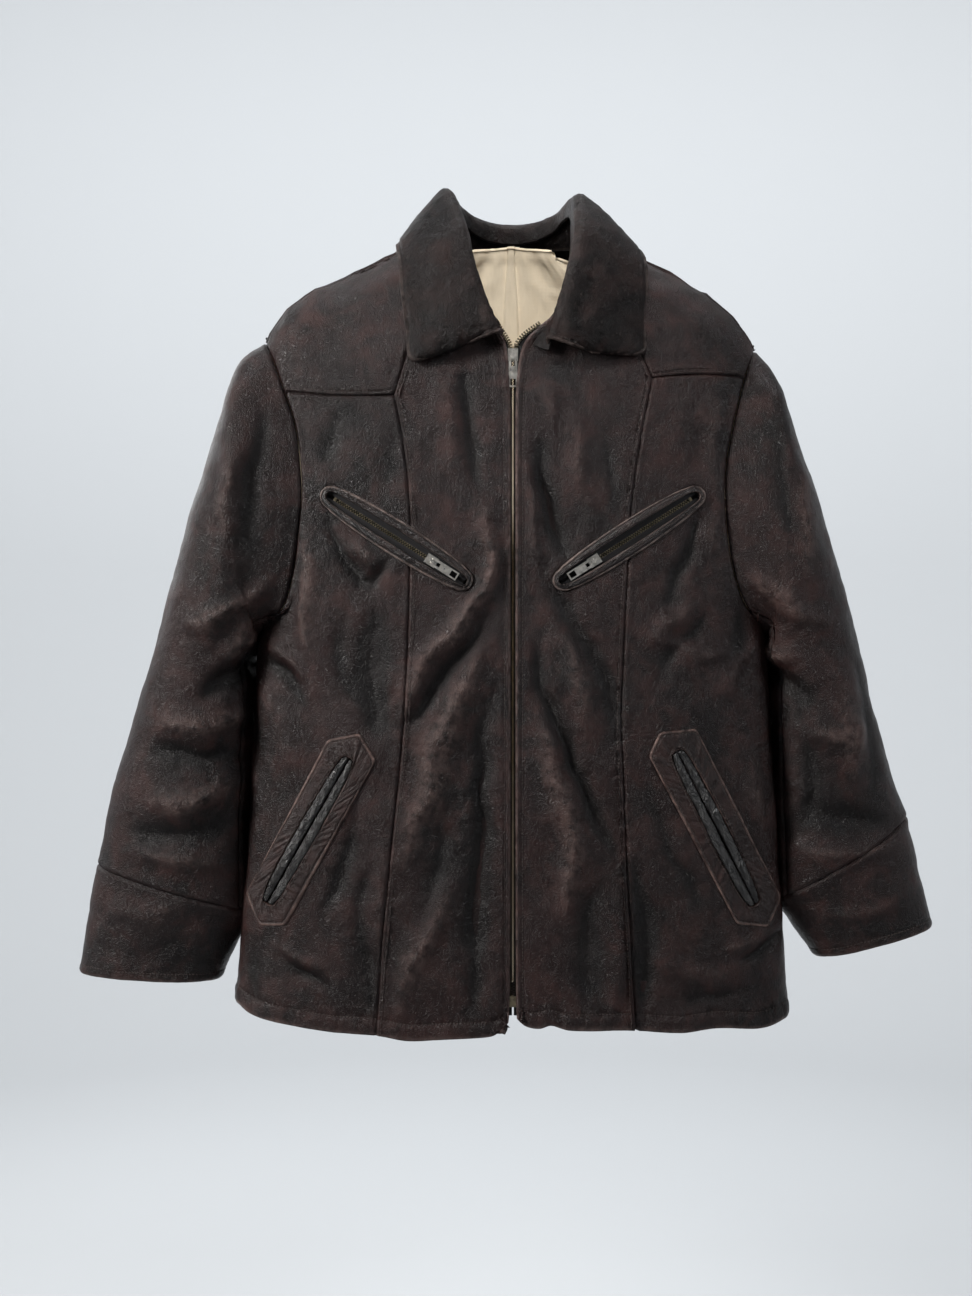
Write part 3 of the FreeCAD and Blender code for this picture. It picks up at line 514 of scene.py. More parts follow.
SLEEVE = {                            # outer x, z, inner x, z, half depth, middle y, squareness
    1: [(241, -106, 235, -351, 60, 1, 2.5), (263, -165, 236, -358, 61, 2, 2.4), (287, -240, 236, -368, 61, 4, 2.3),
        (307, -305, 237, -384, 59, 6, 2.2), (327, -380, 240, -424, 57, 8, 2.2), (348, -458, 241, -492, 53, 8, 2.2),
        (367, -518, 245, -594, 45, 6, 2.2), (390, -619, 282, -648, 36, 4, 2.2)],
    -1: [(250, -106, 235, -351, 60, 1, 2.5), (275, -168, 236, -358, 61, 2, 2.4), (299, -245, 236, -368, 61, 4, 2.3),
         (318, -310, 237, -384, 59, 6, 2.2), (340, -385, 240, -424, 57, 8, 2.2), (370, -486, 241, -496, 53, 8, 2.2),
         (387, -562, 242, -604, 45, 6, 2.2), (402, -662, 271, -669, 36, 4, 2.2)]}
CUFF_STATION = 7                      # the cuff seam, counting the armhole as 0
SIDE_NAME = {1: "left", -1: "right"}
GIRTH = 560.0                         # turns a share round the body into roughly millimetres


def front_at(x, z):
    return (share_of_x(x, z) * GIRTH, z)


def back_at(x, z):
    return (share_of_x(x, z, back=True) * GIRTH, z)


def seam_at(y, z):
    return (share_of_y(y, z) * GIRTH, z)


def drape(p):
    """The right shoulder sits a little higher than the left one."""
    lift = 7.0 * smoothstep(150, 208, -p[..., 0]) * smoothstep(-175, -85, p[..., 2])
    return p + np.stack([-0.5 * lift, 0 * lift, lift], -1)


def draped(flat, side):
    """Points on the hanging body from (girth, z)."""
    return drape(body_at(flat[..., 0] / GIRTH, flat[..., 1], side))


def armhole_loop(side):
    """The armhole as (girth, z) from the armpit up the front, over the tip and down the back."""
    x_z = catmull(ARMHOLE[side], 90)
    x_z[:, 0] = np.minimum(x_z[:, 0], np.interp(x_z[:, 1], TORSO[:, 0], TORSO[:, 1]) - 0.4)
    front = np.array([front_at(x, z) for x, z in x_z])
    back = np.array([back_at(x, z) for x, z in x_z[::-1]])
    return front, back


def armhole_parts(side):
    """The armhole's parts that border the front side, the front yoke, the back yoke and the back panel."""
    front, back = armhole_loop(side)
    yoke_z = YOKE_SEAM[side][-1][1]
    low = front[front[:, 1] <= yoke_z]
    over = np.vstack([front[front[:, 1] > yoke_z], back])
    y = body_at(over[:, 0] / GIRTH, over[:, 1])[:, 1]
    turn = int(np.argmax(y > SHOULDER_SEAM_Y))
    tail = over[turn:]
    keep = tail[:, 1] > YOKE_BACK_Z
    seam = np.array([seam_at(SIDE_SEAM_Y, ARMHOLE[side][0][1])])
    return {"front_side": np.vstack([seam, low[1:]]),
            "front_yoke": np.vstack([low[-1:], over[:turn + 1]]),
            "back_yoke": tail[keep][::-1],
            "back_panel": np.vstack([tail[keep][-1:], tail[~keep][:-1], seam])}


arm_points = {side: [draped(half, side) for half in armhole_loop(side)] for side in (1, -1)}


def armhole_fade(p, side):
    """0 at the armhole seam, so that the body and the sleeve meet there, and 1 away from it."""
    loop = np.vstack(arm_points[side])[::3]
    flat = p.reshape(-1, 3)
    gap = np.full(len(flat), 1e9)
    for q in loop:
        gap = np.minimum(gap, np.sum((flat - q) ** 2, 1))
    return smoothstep(0, 26, np.sqrt(gap)).reshape(p.shape[:-1])


def front_relief(side):
    def relief(p):
        x, z = p[..., 0], p[..., 2]
        front = smoothstep(10, -10, p[..., 1])
        slots = front * (6.5 * np.exp(-(gap_to(CHEST_LINE, x, z) / 9.0) ** 8)
                         + 8.0 * np.exp(-(gap_to(MOUTH_LINE, x, z) / 9.0) ** 6))
        fade = armhole_fade(p, side)
        return body_relief(p) * (0.25 + 0.75 * fade) * smoothstep(-0.2, 0.4, fade + 0.2) - slots
    return relief


def line(points):
    """A border as a function of 0..1."""
    return lambda t: catmull(points, np.asarray(t), sharp=True)


def panel(name, side, bottom, top, left, right, kinds, width, height):
    """A leather panel of the body between four borders given as (girth, z)."""
    us = spaced(width, MARKS[kinds[2]], MARKS[kinds[3]])
    vs = spaced(height, MARKS[kinds[0]], MARKS[kinds[1]])
    flat = coons(line(bottom), line(top), line(left), line(right), us, vs)
    if side < 0:
        kinds = (kinds[0], kinds[1], kinds[3], kinds[2])
    grid, wear = dress(mirrored(draped(flat, side), side), kinds, front_relief(side), 3 + len(name), "jacket")
    sheet_piece(name, grid, LEATHER, "leather", wear=wear)


def joined(halves):
    """The left and the right half of a piece, joined in the middle of the back."""
    return np.hstack([halves[0], halves[1][:, 1:]])


# ------------------------------------------------------------------ materials


class Nodes:
    """A small helper that adds and joins shader nodes."""

    def __init__(self, name):
        self.material = bpy.data.materials.new(name)
        self.material.use_nodes = True
        self.tree = self.material.node_tree
        self.shader = self.tree.nodes["Principled BSDF"]
        self.coords = self.tree.nodes.new("ShaderNodeTexCoord").outputs["Object"]

    def add(self, kind, inputs=None, **settings):
        node = self.tree.nodes.new(kind)
        for key, value in settings.items():
            setattr(node, key, value)
        for key, value in (inputs or {}).items():
            self.put(node.inputs[key], value)
        return node

    def put(self, socket, value):
        if isinstance(value, bpy.types.NodeSocket):
            self.tree.links.new(value, socket)
        else:
            socket.default_value = value

    def noise(self, scale, detail=3.0, rough=0.55, stretch=None, warp=0.0):
        vector = self.coords
        if stretch:
            vector = self.add("ShaderNodeMapping", {"Vector": vector, "Scale": stretch}).outputs[0]
        return self.add("ShaderNodeTexNoise", {"Vector": vector, "Scale": scale, "Detail": detail,
                                               "Roughness": rough, "Distortion": warp}).outputs["Fac"]

    def range(self, value, a, b, c, d):
        return self.add("ShaderNodeMapRange", {"Value": value, "From Min": a, "From Max": b,
                                               "To Min": c, "To Max": d}).outputs[0]

    def math(self, operation, a, b=0.0):
        return self.add("ShaderNodeMath", {0: a, 1: b}, operation=operation).outputs[0]

    def mix(self, factor, a, b):
        node = self.add("ShaderNodeMix", data_type="RGBA")
        for key, value in (("Factor_Float", factor), ("A_Color", a), ("B_Color", b)):
            socket = next(s for s in node.inputs if s.identifier == key)
            self.put(socket, (*value, 1.0) if isinstance(value, tuple) and len(value) == 3 else value)
        return next(s for s in node.outputs if s.identifier == "Result_Color")

    def bump(self, height, distance, strength=1.0, normal=None):
        node = self.add("ShaderNodeBump", {"Height": height, "Distance": distance, "Strength": strength})
        if normal is not None:
            self.tree.links.new(normal, node.inputs["Normal"])
        return node.outputs[0]

    def finish(self, color, roughness, normal=None, **constants):
        self.put(self.shader.inputs["Base Color"], (*color, 1.0) if isinstance(color, tuple) else color)
        self.put(self.shader.inputs["Roughness"], roughness)
        if normal is not None:
            self.tree.links.new(normal, self.shader.inputs["Normal"])
        for key, value in constants.items():
            self.shader.inputs[key.replace("_", " ")].default_value = value
        return self.material


def leather_material(name, dark, middle, warm, worn_and_sheen, rough=(0.33, 0.47), pebble=0.00020, crinkle=0.00030, specular=0.5,
                     lump=0.0022):
    n = Nodes(name)
    cloud = n.noise(9.0, 4.0, 0.6, warp=0.6)
    patch = n.noise(42.0, 4.0, 0.62, warp=0.4)
    fleck = n.noise(260.0, 3.0, 0.6)
    tone = n.mix(n.range(cloud, 0.36, 0.66, 0.0, 1.0), dark, middle)
    tone = n.mix(n.range(patch, 0.46, 0.74, 0.0, 0.85), tone, warm)
    tone = n.mix(n.range(fleck, 0.60, 0.80, 0.0, 0.22), tone, worn_and_sheen)
    # The attribute holds edge wear and painted light: rubbed wear and painted sheen on the fold ridges above zero,
    # painted shade in the fold hollows below zero.
    wear = n.add("ShaderNodeAttribute", attribute_name="wear").outputs["Fac"]
    # Rubbed seams and edges, and on the fold ridges a lighter tone that is partly rubbed wear and partly painted sheen,
    # both in the worn tone.
    rub_and_sheen = n.math("MULTIPLY", wear, n.range(n.noise(120.0, 4.0, 0.65), 0.38, 0.64, 0.05, 0.85))
    tone = n.mix(n.math("MAXIMUM", rub_and_sheen, 0.0), tone, worn_and_sheen)
    # Painted shade: the fold hollows are darkened towards a darker copy of the dark tone.
    tone = n.mix(n.range(wear, -0.85, 0.0, 0.88, 0.0), tone, tuple(0.3 * c for c in dark))
    rough_base = n.range(patch, 0.3, 0.7, rough[0], rough[1])
    grain = n.add("ShaderNodeTexVoronoi", {"Vector": n.coords, "Scale": 640.0, "Randomness": 1.0},
                  feature="DISTANCE_TO_EDGE").outputs["Distance"]
    grain = n.range(grain, 0.0, 0.22, 0.0, 1.0)
    lines = n.noise(130.0, 5.0, 0.62, stretch=(1.0, 1.0, 0.62), warp=0.9)
    ridge = n.math("ABSOLUTE", n.math("SUBTRACT", lines, 0.5))
    ridge = n.range(ridge, 0.0, 0.13, 0.0, 1.0)
    soft = n.noise(38.0, 3.0, 0.5, warp=0.5)
    normal = n.bump(soft, lump, 0.8)
    normal = n.bump(ridge, crinkle, 0.75, normal)
    normal = n.bump(grain, pebble, 0.9, normal)
    return n.finish(tone, rough_base, normal, Specular_IOR_Level=specular)


def cloth_material(name, color, shade, rough=0.88, weave=1500.0, depth=0.00012, sheen=0.25):
    n = Nodes(name)
    tone = n.mix(n.range(n.noise(14.0, 4.0, 0.6), 0.3, 0.7, 0.0, 1.0), color, shade)
    tone = n.mix(n.range(n.noise(420.0, 2.0, 0.5, stretch=(1, 1, 0.2)), 0.4, 0.75, 0.0, 0.35), tone, shade)
    across = n.add("ShaderNodeTexWave", {"Vector": n.coords, "Scale": weave / 6.283, "Distortion": 0.6,
                                         "Detail": 1.0}, bands_direction="X").outputs["Fac"]
    down = n.add("ShaderNodeTexWave", {"Vector": n.coords, "Scale": weave / 6.283, "Distortion": 0.6,
                                       "Detail": 1.0}, bands_direction="Z").outputs["Fac"]
    normal = n.bump(n.noise(60.0, 3.0), 0.0006, 0.6)
    normal = n.bump(n.math("MULTIPLY", across, down), depth, 0.7, normal)
    return n.finish(tone, rough, normal, Sheen_Weight=sheen, Specular_IOR_Level=0.25)


def metal_material(name, color, dull, rough=(0.25, 0.45)):
    n = Nodes(name)
    tone = n.mix(n.range(n.noise(220.0, 4.0, 0.6), 0.42, 0.68, 0.0, 0.8), color, dull)
    brushed = n.noise(900.0, 3.0, 0.5, stretch=(1.0, 1.0, 0.12))
    normal = n.bump(brushed, 0.00003, 0.6)
    return n.finish(tone, n.range(n.noise(300.0, 3.0), 0.3, 0.7, rough[0], rough[1]), normal, Metallic=1.0)


LEATHER = leather_material("worn leather", (0.0034, 0.0017, 0.0017), (0.0118, 0.0054, 0.0051),
                           (0.0270, 0.0108, 0.0092), (0.105, 0.070, 0.062), rough=(0.29, 0.43), pebble=0.00024,
                           crinkle=0.00042, specular=0.18)
COLLAR_LEATHER = leather_material("collar leather", (0.0010, 0.0007, 0.0007), (0.0056, 0.0034, 0.0033),
                                  (0.0135, 0.0068, 0.0060), (0.110, 0.084, 0.076), rough=(0.30, 0.46),
                                  pebble=0.00014, crinkle=0.00040, specular=0.085, lump=0.0045)
POCKET_LEATHER = leather_material("pocket leather", (0.0060, 0.0029, 0.0026), (0.0135, 0.0060, 0.0053),
                                  (0.0270, 0.0108, 0.0090), (0.150, 0.098, 0.084), rough=(0.36, 0.50),
                                  specular=0.22)
FRAME_LEATHER = leather_material("pocket edging", (0.0032, 0.0020, 0.0020), (0.0085, 0.0047, 0.0045),
                                 (0.0190, 0.0090, 0.0078), (0.170, 0.125, 0.110), rough=(0.28, 0.42),
                                 specular=0.30)
WELT_LEATHER = leather_material("welt leather", (0.0028, 0.0024, 0.0026), (0.0045, 0.0038, 0.0040),
                                (0.0085, 0.0068, 0.0066), (0.045, 0.038, 0.038), rough=(0.26, 0.42),
                                pebble=0.00005, crinkle=0.0009, specular=0.45)
LINING = cloth_material("lining cotton", (0.90, 0.78, 0.60), (0.76, 0.64, 0.47))
POCKET_CLOTH = cloth_material("pocket cotton", (0.055, 0.048, 0.045), (0.038, 0.033, 0.031))
LABEL = cloth_material("label weave", (0.80, 0.78, 0.72), (0.70, 0.68, 0.62), weave=2600.0)
TAPE = cloth_material("zip tape weave", (0.009, 0.008, 0.0085), (0.005, 0.0045, 0.005), weave=2600.0, sheen=0.1)
THREAD = cloth_material("thread", (0.040, 0.029, 0.026), (0.026, 0.019, 0.017), rough=0.6, weave=5000.0, sheen=0.0)
BRASS = metal_material("zip brass", (0.30, 0.25, 0.17), (0.11, 0.09, 0.06))
# Painted shade: brass coloured nearly black, so that the main zip's teeth read as the shadow in the slot between the
# leather edges.
SLOT_SHADE_BRASS = metal_material("brass painted with slot shade", (0.040, 0.034, 0.028), (0.018, 0.016, 0.014), (0.4, 0.6))
STEEL = metal_material("pull steel", (0.78, 0.74, 0.68), (0.40, 0.375, 0.335), (0.26, 0.42))


# ------------------------------------------------------------------ body panels


def build_body():
    for side in (1, -1):
        name = SIDE_NAME[side]
        arm = armhole_parts(side)
        edge = [front_at(x, z) for x, z in catmull(FRONT_EDGE[side], 120)]
        princess = [front_at(x, z) for x, z in catmull(PRINCESS[side][:YOKE_CORNER + 1], 90)]
        inner = [front_at(x, z) for x, z in catmull(PRINCESS[side][YOKE_CORNER:], 30)]
        hem = [front_at(x, z) for x, z in catmull(HEM[side], 120)]
        corner_x = PRINCESS[side][0][0]
        split = next(i for i, p in enumerate(hem) if p[0] >= share_of_x(corner_x, p[1]) * GIRTH - 1e-6)
        side_low = seam_at(SIDE_SEAM_Y, HEM_SIDE_Z[side])
        armpit = seam_at(SIDE_SEAM_Y, ARMHOLE[side][0][1])
        edge[0] = (edge[0][0], hem[0][1])
        hem_centre = [edge[0]] + hem[1:split] + [princess[0]]
        hem_side = [princess[0]] + hem[split + 1:] + [side_low]
        side_seam = [tuple(p) for p in np.linspace(side_low, armpit, 30)]
        yoke_low = [front_at(x, z) for x, z in catmull(YOKE_SEAM[side], 30)]
        yoke_low[0] = princess[-1]
        yoke_low[-1] = tuple(arm["front_side"][-1])
        panel(f"front_centre_{name}", side, hem_centre, [edge[-1], inner[-1]], edge, princess + inner[1:],
              ("hem", "none", "edge", "felled"), 112, 690)
        outer = side_seam + list(map(tuple, arm["front_side"][1:]))
        panel(f"front_side_{name}", side, hem_side, yoke_low, princess, outer,
              ("hem", "seam", "seam", "seam"), 175, 600)
        tip = tuple(arm["front_yoke"][-1])
        inner_top = inner + [front_at(84, 10)]
        shoulder = [inner_top[-1]] + [seam_at(SHOULDER_SEAM_Y, z) for z in np.linspace(9, tip[1] + 1, 40)] + [tip]
        panel(f"front_yoke_{name}", side, yoke_low, shoulder, inner_top, arm["front_yoke"],
              ("felled", "seam", "seam", "seam"), 130, 140)
        hem_back = [side_low] + [(a, z) for a, z in zip(np.linspace(side_low[0] + 25, GIRTH, 4), HEM_BACK)]
        back_edge = side_seam + list(map(tuple, arm["back_panel"][::-1][1:]))
        top = [back_edge[-1]] + [(a, YOKE_BACK_Z) for a in np.linspace(back_edge[-1][0] + 6, GIRTH, 20)]
        middle = [(GIRTH, z) for z in np.linspace(hem_back[-1][1], YOKE_BACK_Z, 40)]
        panel(f"back_panel_{name}", side, list(map(tuple, catmull(hem_back, 60))), top, back_edge, middle,
              ("hem", "seam", "seam", "felled"), 270, 550)
    build_back_yoke()


def build_back_yoke():
    halves = []
    us, vs = spaced(215, SEAM_MARKS, [0]), spaced(150, SEAM_MARKS, SEAM_MARKS)
    for side in (1, -1):
        outer = list(map(tuple, armhole_parts(side)["back_yoke"]))
        tip = outer[-1]
        low = [outer[0]] + [(a, YOKE_BACK_Z) for a in np.linspace(outer[0][0] + 6, GIRTH, 20)]
        top = [tip] + [seam_at(SHOULDER_SEAM_Y, z) for z in np.linspace(tip[1] + 1, 8, 40)]
        top += [back_at(x, z) for x, z in catmull(NECK_BACK, 30)]
        top[-1] = (GIRTH, NECK_BACK[-1][1])
        middle = [(GIRTH, z) for z in np.linspace(YOKE_BACK_Z, NECK_BACK[-1][1], 30)]
        flat = coons(line(low), line(top), line(outer), line(middle), us, vs)
        halves.append(mirrored(draped(flat, side), side))

    def relief(p):
        return body_relief(p) * (0.25 + 0.75 * armhole_fade(p, 1) * armhole_fade(p, -1))
    grid, wear = dress(joined(halves), ("felled", "seam", "seam", "seam"), relief, 41, "jacket")
    sheet_piece("back_yoke", grid, LEATHER, "leather", wear=wear)


CLOTH = 0.7                           # thickness of the lining and the pocket bags
FACING = 1.0                          # thickness of the facings as drawn
LINING_LOW, LINING_SPLIT = -684, GIRTH * 0.47     # the lining's lower end and its side seam


def body_layer(name, side, columns, rows, depth, material, slot):
    """A layer inside the shell, from girth and height ranges."""
    base = mirrored(draped(np.stack(np.meshgrid(columns, rows), -1), side), side)
    grid = base + grid_normals(base) * (-depth + 0.5 * fbm(base, 60, 2, 23))[..., None]
    sheet_piece(name, grid, material, slot, thick=CLOTH, tuck=2.0)


def lining_folds(a, z):
    """The pleat in the middle of the back, soft ripples beside it and crumples near the neck."""
    d = GIRTH - a
    fold = np.where(d < 9, 2.6, 0.0) * smoothstep(11, 8, d)
    ripple = 1.6 * np.sin(a / 17.0 + 0.8 * np.sin(z / 50.0)) * smoothstep(20, 60, d)
    crumple = 1.5 * crease(np.stack([a, z, 0 * a], -1), (26, 40, 9), 83) * smoothstep(-190, -110, z)
    return -fold - ripple + crumple - 2.0


def build_back_lining():
    rows = np.arange(LINING_LOW, -6, GRID * 1.6)
    pleat = GIRTH - np.array([12, 10.5, 9.3, 8.4, 6, 3, 0])
    cols = np.concatenate([np.arange(LINING_SPLIT, GIRTH - 13, 5.0), pleat])
    halves = []
    for side in (1, -1):
        a, z = np.meshgrid(cols, rows)
        top = np.interp(a, [GIRTH * 0.60, GIRTH * 0.8, GIRTH], [-4, 19, 22.0])
        z = LINING_LOW + (z - LINING_LOW) * (top - LINING_LOW) / (rows[-1] - LINING_LOW)
        base = draped(np.stack([a, z], -1), side)
        lift = -7.6 + lining_folds(a, z) + 0.5 * fbm(base, 70, 2, 5)
        halves.append(mirrored(base + grid_normals(base) * side * lift[..., None], side))
    sheet_piece("lining_back", joined(halves), LINING, "lining", thick=CLOTH, tuck=2.0)


def build_inside():
    build_back_lining()
    for side in (1, -1):
        name = SIDE_NAME[side]
        rows = np.arange(LINING_LOW, -34, GRID * 2)
        body_layer(f"lining_front_{name}", side, np.arange(60, LINING_SPLIT + 3, 5.0), rows, 7.6, LINING, "lining")
        inset = np.interp(rows, [-700, -165, -110, -84, -60, -31], [7.5, 7.5, 13, 26, 46, 72])
        across = np.linspace(0, 1, 14)
        flat = np.array([[(share_of_x(x, z) * GIRTH, z) for x in start + across * (80 - min(start, 60))]
                         for start, z in zip(inset, rows)])
        base = mirrored(draped(flat, side), side)
        grid = base - grid_normals(base) * (6.4 + 0.2 * wrinkles(base))[..., None]
        sheet_piece(f"front_facing_{name}", grid, LEATHER, "leather", thick=FACING, tuck=2.0)
        body_layer(f"chest_pocket_bag_{name}", side, np.linspace(52, 150, 22), np.arange(-345, -235, 5.0), 6.0,
                   POCKET_CLOTH, "pocket_cloth")
        body_layer(f"hand_pocket_bag_{name}", side, np.linspace(70, 236, 34), np.arange(-640, -455, 5.0), 6.6,
                   POCKET_CLOTH, "pocket_cloth")
    build_hem_facing()


def build_hem_facing():
    cols = np.append(np.arange(9, GIRTH, 4.0), GIRTH)
    rows = np.linspace(-698, -660, 10)
    halves = []
    for side in (1, -1):
        a, z = np.meshgrid(cols, rows)
        rise = np.interp(a / GIRTH, [0, 0.4, 0.5, 0.6, 1], [0, 0, 9 if side > 0 else 16, 0, 0])
        z = z + rise * np.interp(z, [-698, -660], [1, 0])
        base = draped(np.stack([a, z], -1), side)
        lift = (4.4 + 0.4 * wrinkles(base))[..., None]
        halves.append(mirrored(base - grid_normals(base) * side * lift, side))
    sheet_piece("hem_facing", joined(halves), LEATHER, "leather", thick=FACING, tuck=2.0)


# ------------------------------------------------------------------ sleeves
ANGLES = np.linspace(-180, 180, 361)


def oval_loop(station):
    ox, oz, ix, iz, depth, cy, power = station
    t = np.radians(ANGLES)
    c, s = np.cos(t), np.sin(t)
    c = np.sign(c) * np.abs(c) ** (2 / power)
    s = np.sign(s) * np.abs(s) ** (2 / power)
    mid, half = np.array([(ox + ix) / 2, (oz + iz) / 2]), np.array([(ox - ix) / 2, (oz - iz) / 2])
    return np.stack([mid[0] + half[0] * c, cy + depth * s, mid[1] + half[1] * c], 1)


def sleeve_rows(side):
    """Loops down the sleeve from the armhole to the end of the cuff, and the row of each station."""
    loops = [drape(oval_loop(s) * [side, 1, 1]) for s in SLEEVE[side]]
    front, back = arm_points[side]
    first = loops[0]
    half = len(ANGLES) // 2
    parts = [read_at(run_share(piece), run_share(path), path)
             for path, piece in ((front, first[:half + 1]), (back, first[half:]))]
    loops = [np.vstack([parts[0][:-1], parts[1]])] + loops
    ext = [2 * loops[0] - loops[1]] + loops + [2 * loops[-1] - loops[-2]]
    rows, marks = [], [0]
    for k in range(1, len(ext) - 2):
        a, b, c, d = ext[k - 1:k + 3]
        if k == 1:
            a = b - (c - b) * 0.3
        if k == CUFF_STATION:
            d = c + (c - b)
        if k == CUFF_STATION + 1:
            a = b - (c - b)
        gap = np.percentile(np.linalg.norm(c - b, axis=1), 80)
        count = max(3, int(gap / GRID))
        rows += [spline(a, b, c, d, t) for t in np.arange(count) / count]
        marks.append(len(rows))
    rows.append(loops[-1])
    return np.array(rows), marks


def densify(rows):
    """Adds rows close to the ends, for the seams."""
    low = [rows[0] + (rows[1] - rows[0]) * t for t in (0, 0.25, 0.6)]
    high = [rows[-2] + (rows[-1] - rows[-2]) * t for t in (0.4, 0.75, 1)]
    return np.array(low + list(rows[1:-1]) + high)


def cut_columns(rows, start, stop, width):
    """The part of each loop between two angles, evenly spaced, with extra columns at the seams."""
    angles = np.concatenate([ANGLES, ANGLES[1:] + 360])
    keep = (angles >= start - 1e-6) & (angles <= stop + 1e-6)
    us = spaced(width, SEAM_MARKS, SEAM_MARKS)
    out = []
    for row in rows:
        path = np.concatenate([row, row[1:]])[keep]
        out.append(read_at(us, run_share(path), path))
    return np.array(out)


def sleeve_relief(side):
    def relief(p):
        y, z = p[..., 1], p[..., 2]
        front = smoothstep(16, -8, y)
        big = FOLD_GAIN * front * strokes(p, SLEEVE_FOLDS[side], 56)
        rings = crease(p + 12 * noise_vector(p, 60, 71), (95, 95, 42), 61)
        near_elbow = np.exp(-((z + 430) / 110.0) ** 2)
        big = np.maximum(big, -5.5) + (1 - 0.72 * front) * 2.6 * rings * (0.4 + 0.6 * near_elbow)
        big = big + 1.1 * fbm(p, (80, 80, 120), 2, 9)
        fade = armhole_fade(p, side)
        end = smoothstep(-660, -600, z) * 0.5 + 0.5
        return big * fade * end + wrinkles(p) * (0.25 + 0.75 * fade)
    return relief


TOP_SLEEVE = (-150, 62)
UNDER_SLEEVE = (62, 210)


def build_sleeves():
    for side in (1, -1):
        name = SIDE_NAME[side]
        rows, marks = sleeve_rows(side)
        seam = marks[CUFF_STATION]
        arm, cuff = densify(rows[:seam + 1])[::-1], densify(rows[seam:])[::-1]
        for piece, angles, width, nodes in (
                ("sleeve_top", TOP_SLEEVE, 180, [f"sleeve_head_{name}", f"top_sleeve_{name}"]),
                ("sleeve_under", UNDER_SLEEVE, 130, [f"under_sleeve_{name}"])):
            base = mirrored(cut_columns(arm, *angles, width), side)
            grid, wear = dress(base, ("seam", "seam", "seam", "seam"),
                               sleeve_relief(side), 7 if side > 0 else 13, None)
            obj = sheet_object(f"{piece}_{name}", grid, LEATHER, "leather", wear=wear)
            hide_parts(*nodes)
            bend(obj)
        base = mirrored(cut_columns(cuff, 30, 390, 200), side)
        grid, wear = dress(base, ("edge", "seam", "none", "none"), sleeve_relief(side), 19, f"sleeve_{name}")
        sheet_piece(f"cuff_{name}", grid, LEATHER, "leather", f"sleeve_{name}", wear=wear, tuck=4.0)
        inner = mirrored(cut_columns(rows[marks[4]::3][::-1], 0, 360, 180), side)
        inner = inner - grid_normals(inner) * (9.5 + 0.4 * fbm(inner, 40, 2, 31))[..., None]
        sheet_piece(f"sleeve_lining_{name}", inner[2:], LINING, "lining", f"sleeve_{name}", thick=0.6, tuck=2.0)


def bend(obj):
    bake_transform(obj)


# ------------------------------------------------------------------ pieces that lie on the front


def on_front(x, z, lift):
    """Points on the displaced front, raised by lift.  x is signed."""
    x, z, lift = np.broadcast_arrays(np.asarray(x, float), np.asarray(z, float), np.asarray(lift, float))
    side = np.where(x >= 0, 1, -1)
    share = front_share(np.abs(x), z)
    p = np.stack([x, body_at(share, z)[..., 1], z], -1)
    left, right = body_at(share - 0.004, z), body_at(share + 0.004, z)
    up, down = body_at(share, z + 2), body_at(share, z - 2)
    n = np.cross(right - left, up - down)
    n /= np.linalg.norm(n, axis=-1, keepdims=True)
    n[..., 0] *= side
    return p + n * (body_relief(p) + lift)[..., None]


def front_share(x, z):
    """The share round the front at x, for arrays."""
    width, power = (np.interp(z, TORSO[:, 0], TORSO[:, k]) for k in (1, 3))
    lo, hi = np.zeros(np.shape(x)), np.full(np.shape(x), 0.5)
    x = np.minimum(x, width * 0.999)
    for _ in range(26):
        mid = (lo + hi) / 2
        below = body_at(mid, z)[..., 0] < x
        lo, hi = np.where(below, mid, lo), np.where(below, hi, mid)
    return (lo + hi) / 2


def closed_outline(path, count):
    """A closed outline, evenly resampled."""
    path = np.vstack([path, path[:1]])
    return read_at(np.linspace(0, 1, count, endpoint=False), run_share(path), path)


def anticlockwise(outline):
    x, z = outline.T
    return outline[::-1] if np.sum(x * np.roll(z, -1) - z * np.roll(x, -1)) < 0 else outline


def rounded_loop(points, radius, count):
    """A closed outline with rounded corners, evenly resampled, starting in the middle of its last side."""
    p = np.asarray(points, float)
    dense = []
    for k in range(len(p)):
        a, b, c = p[k - 1], p[k], p[(k + 1) % len(p)]
        r = min(radius, 0.45 * np.linalg.norm(a - b), 0.45 * np.linalg.norm(c - b))
        s, e = b + (a - b) / np.linalg.norm(a - b) * r, b + (c - b) / np.linalg.norm(c - b) * r
        t = np.linspace(0, 1, 9)[:, None]
        dense.append((1 - t) ** 2 * s + 2 * t * (1 - t) * b + t ** 2 * e)
    return closed_outline(np.vstack(dense), count)


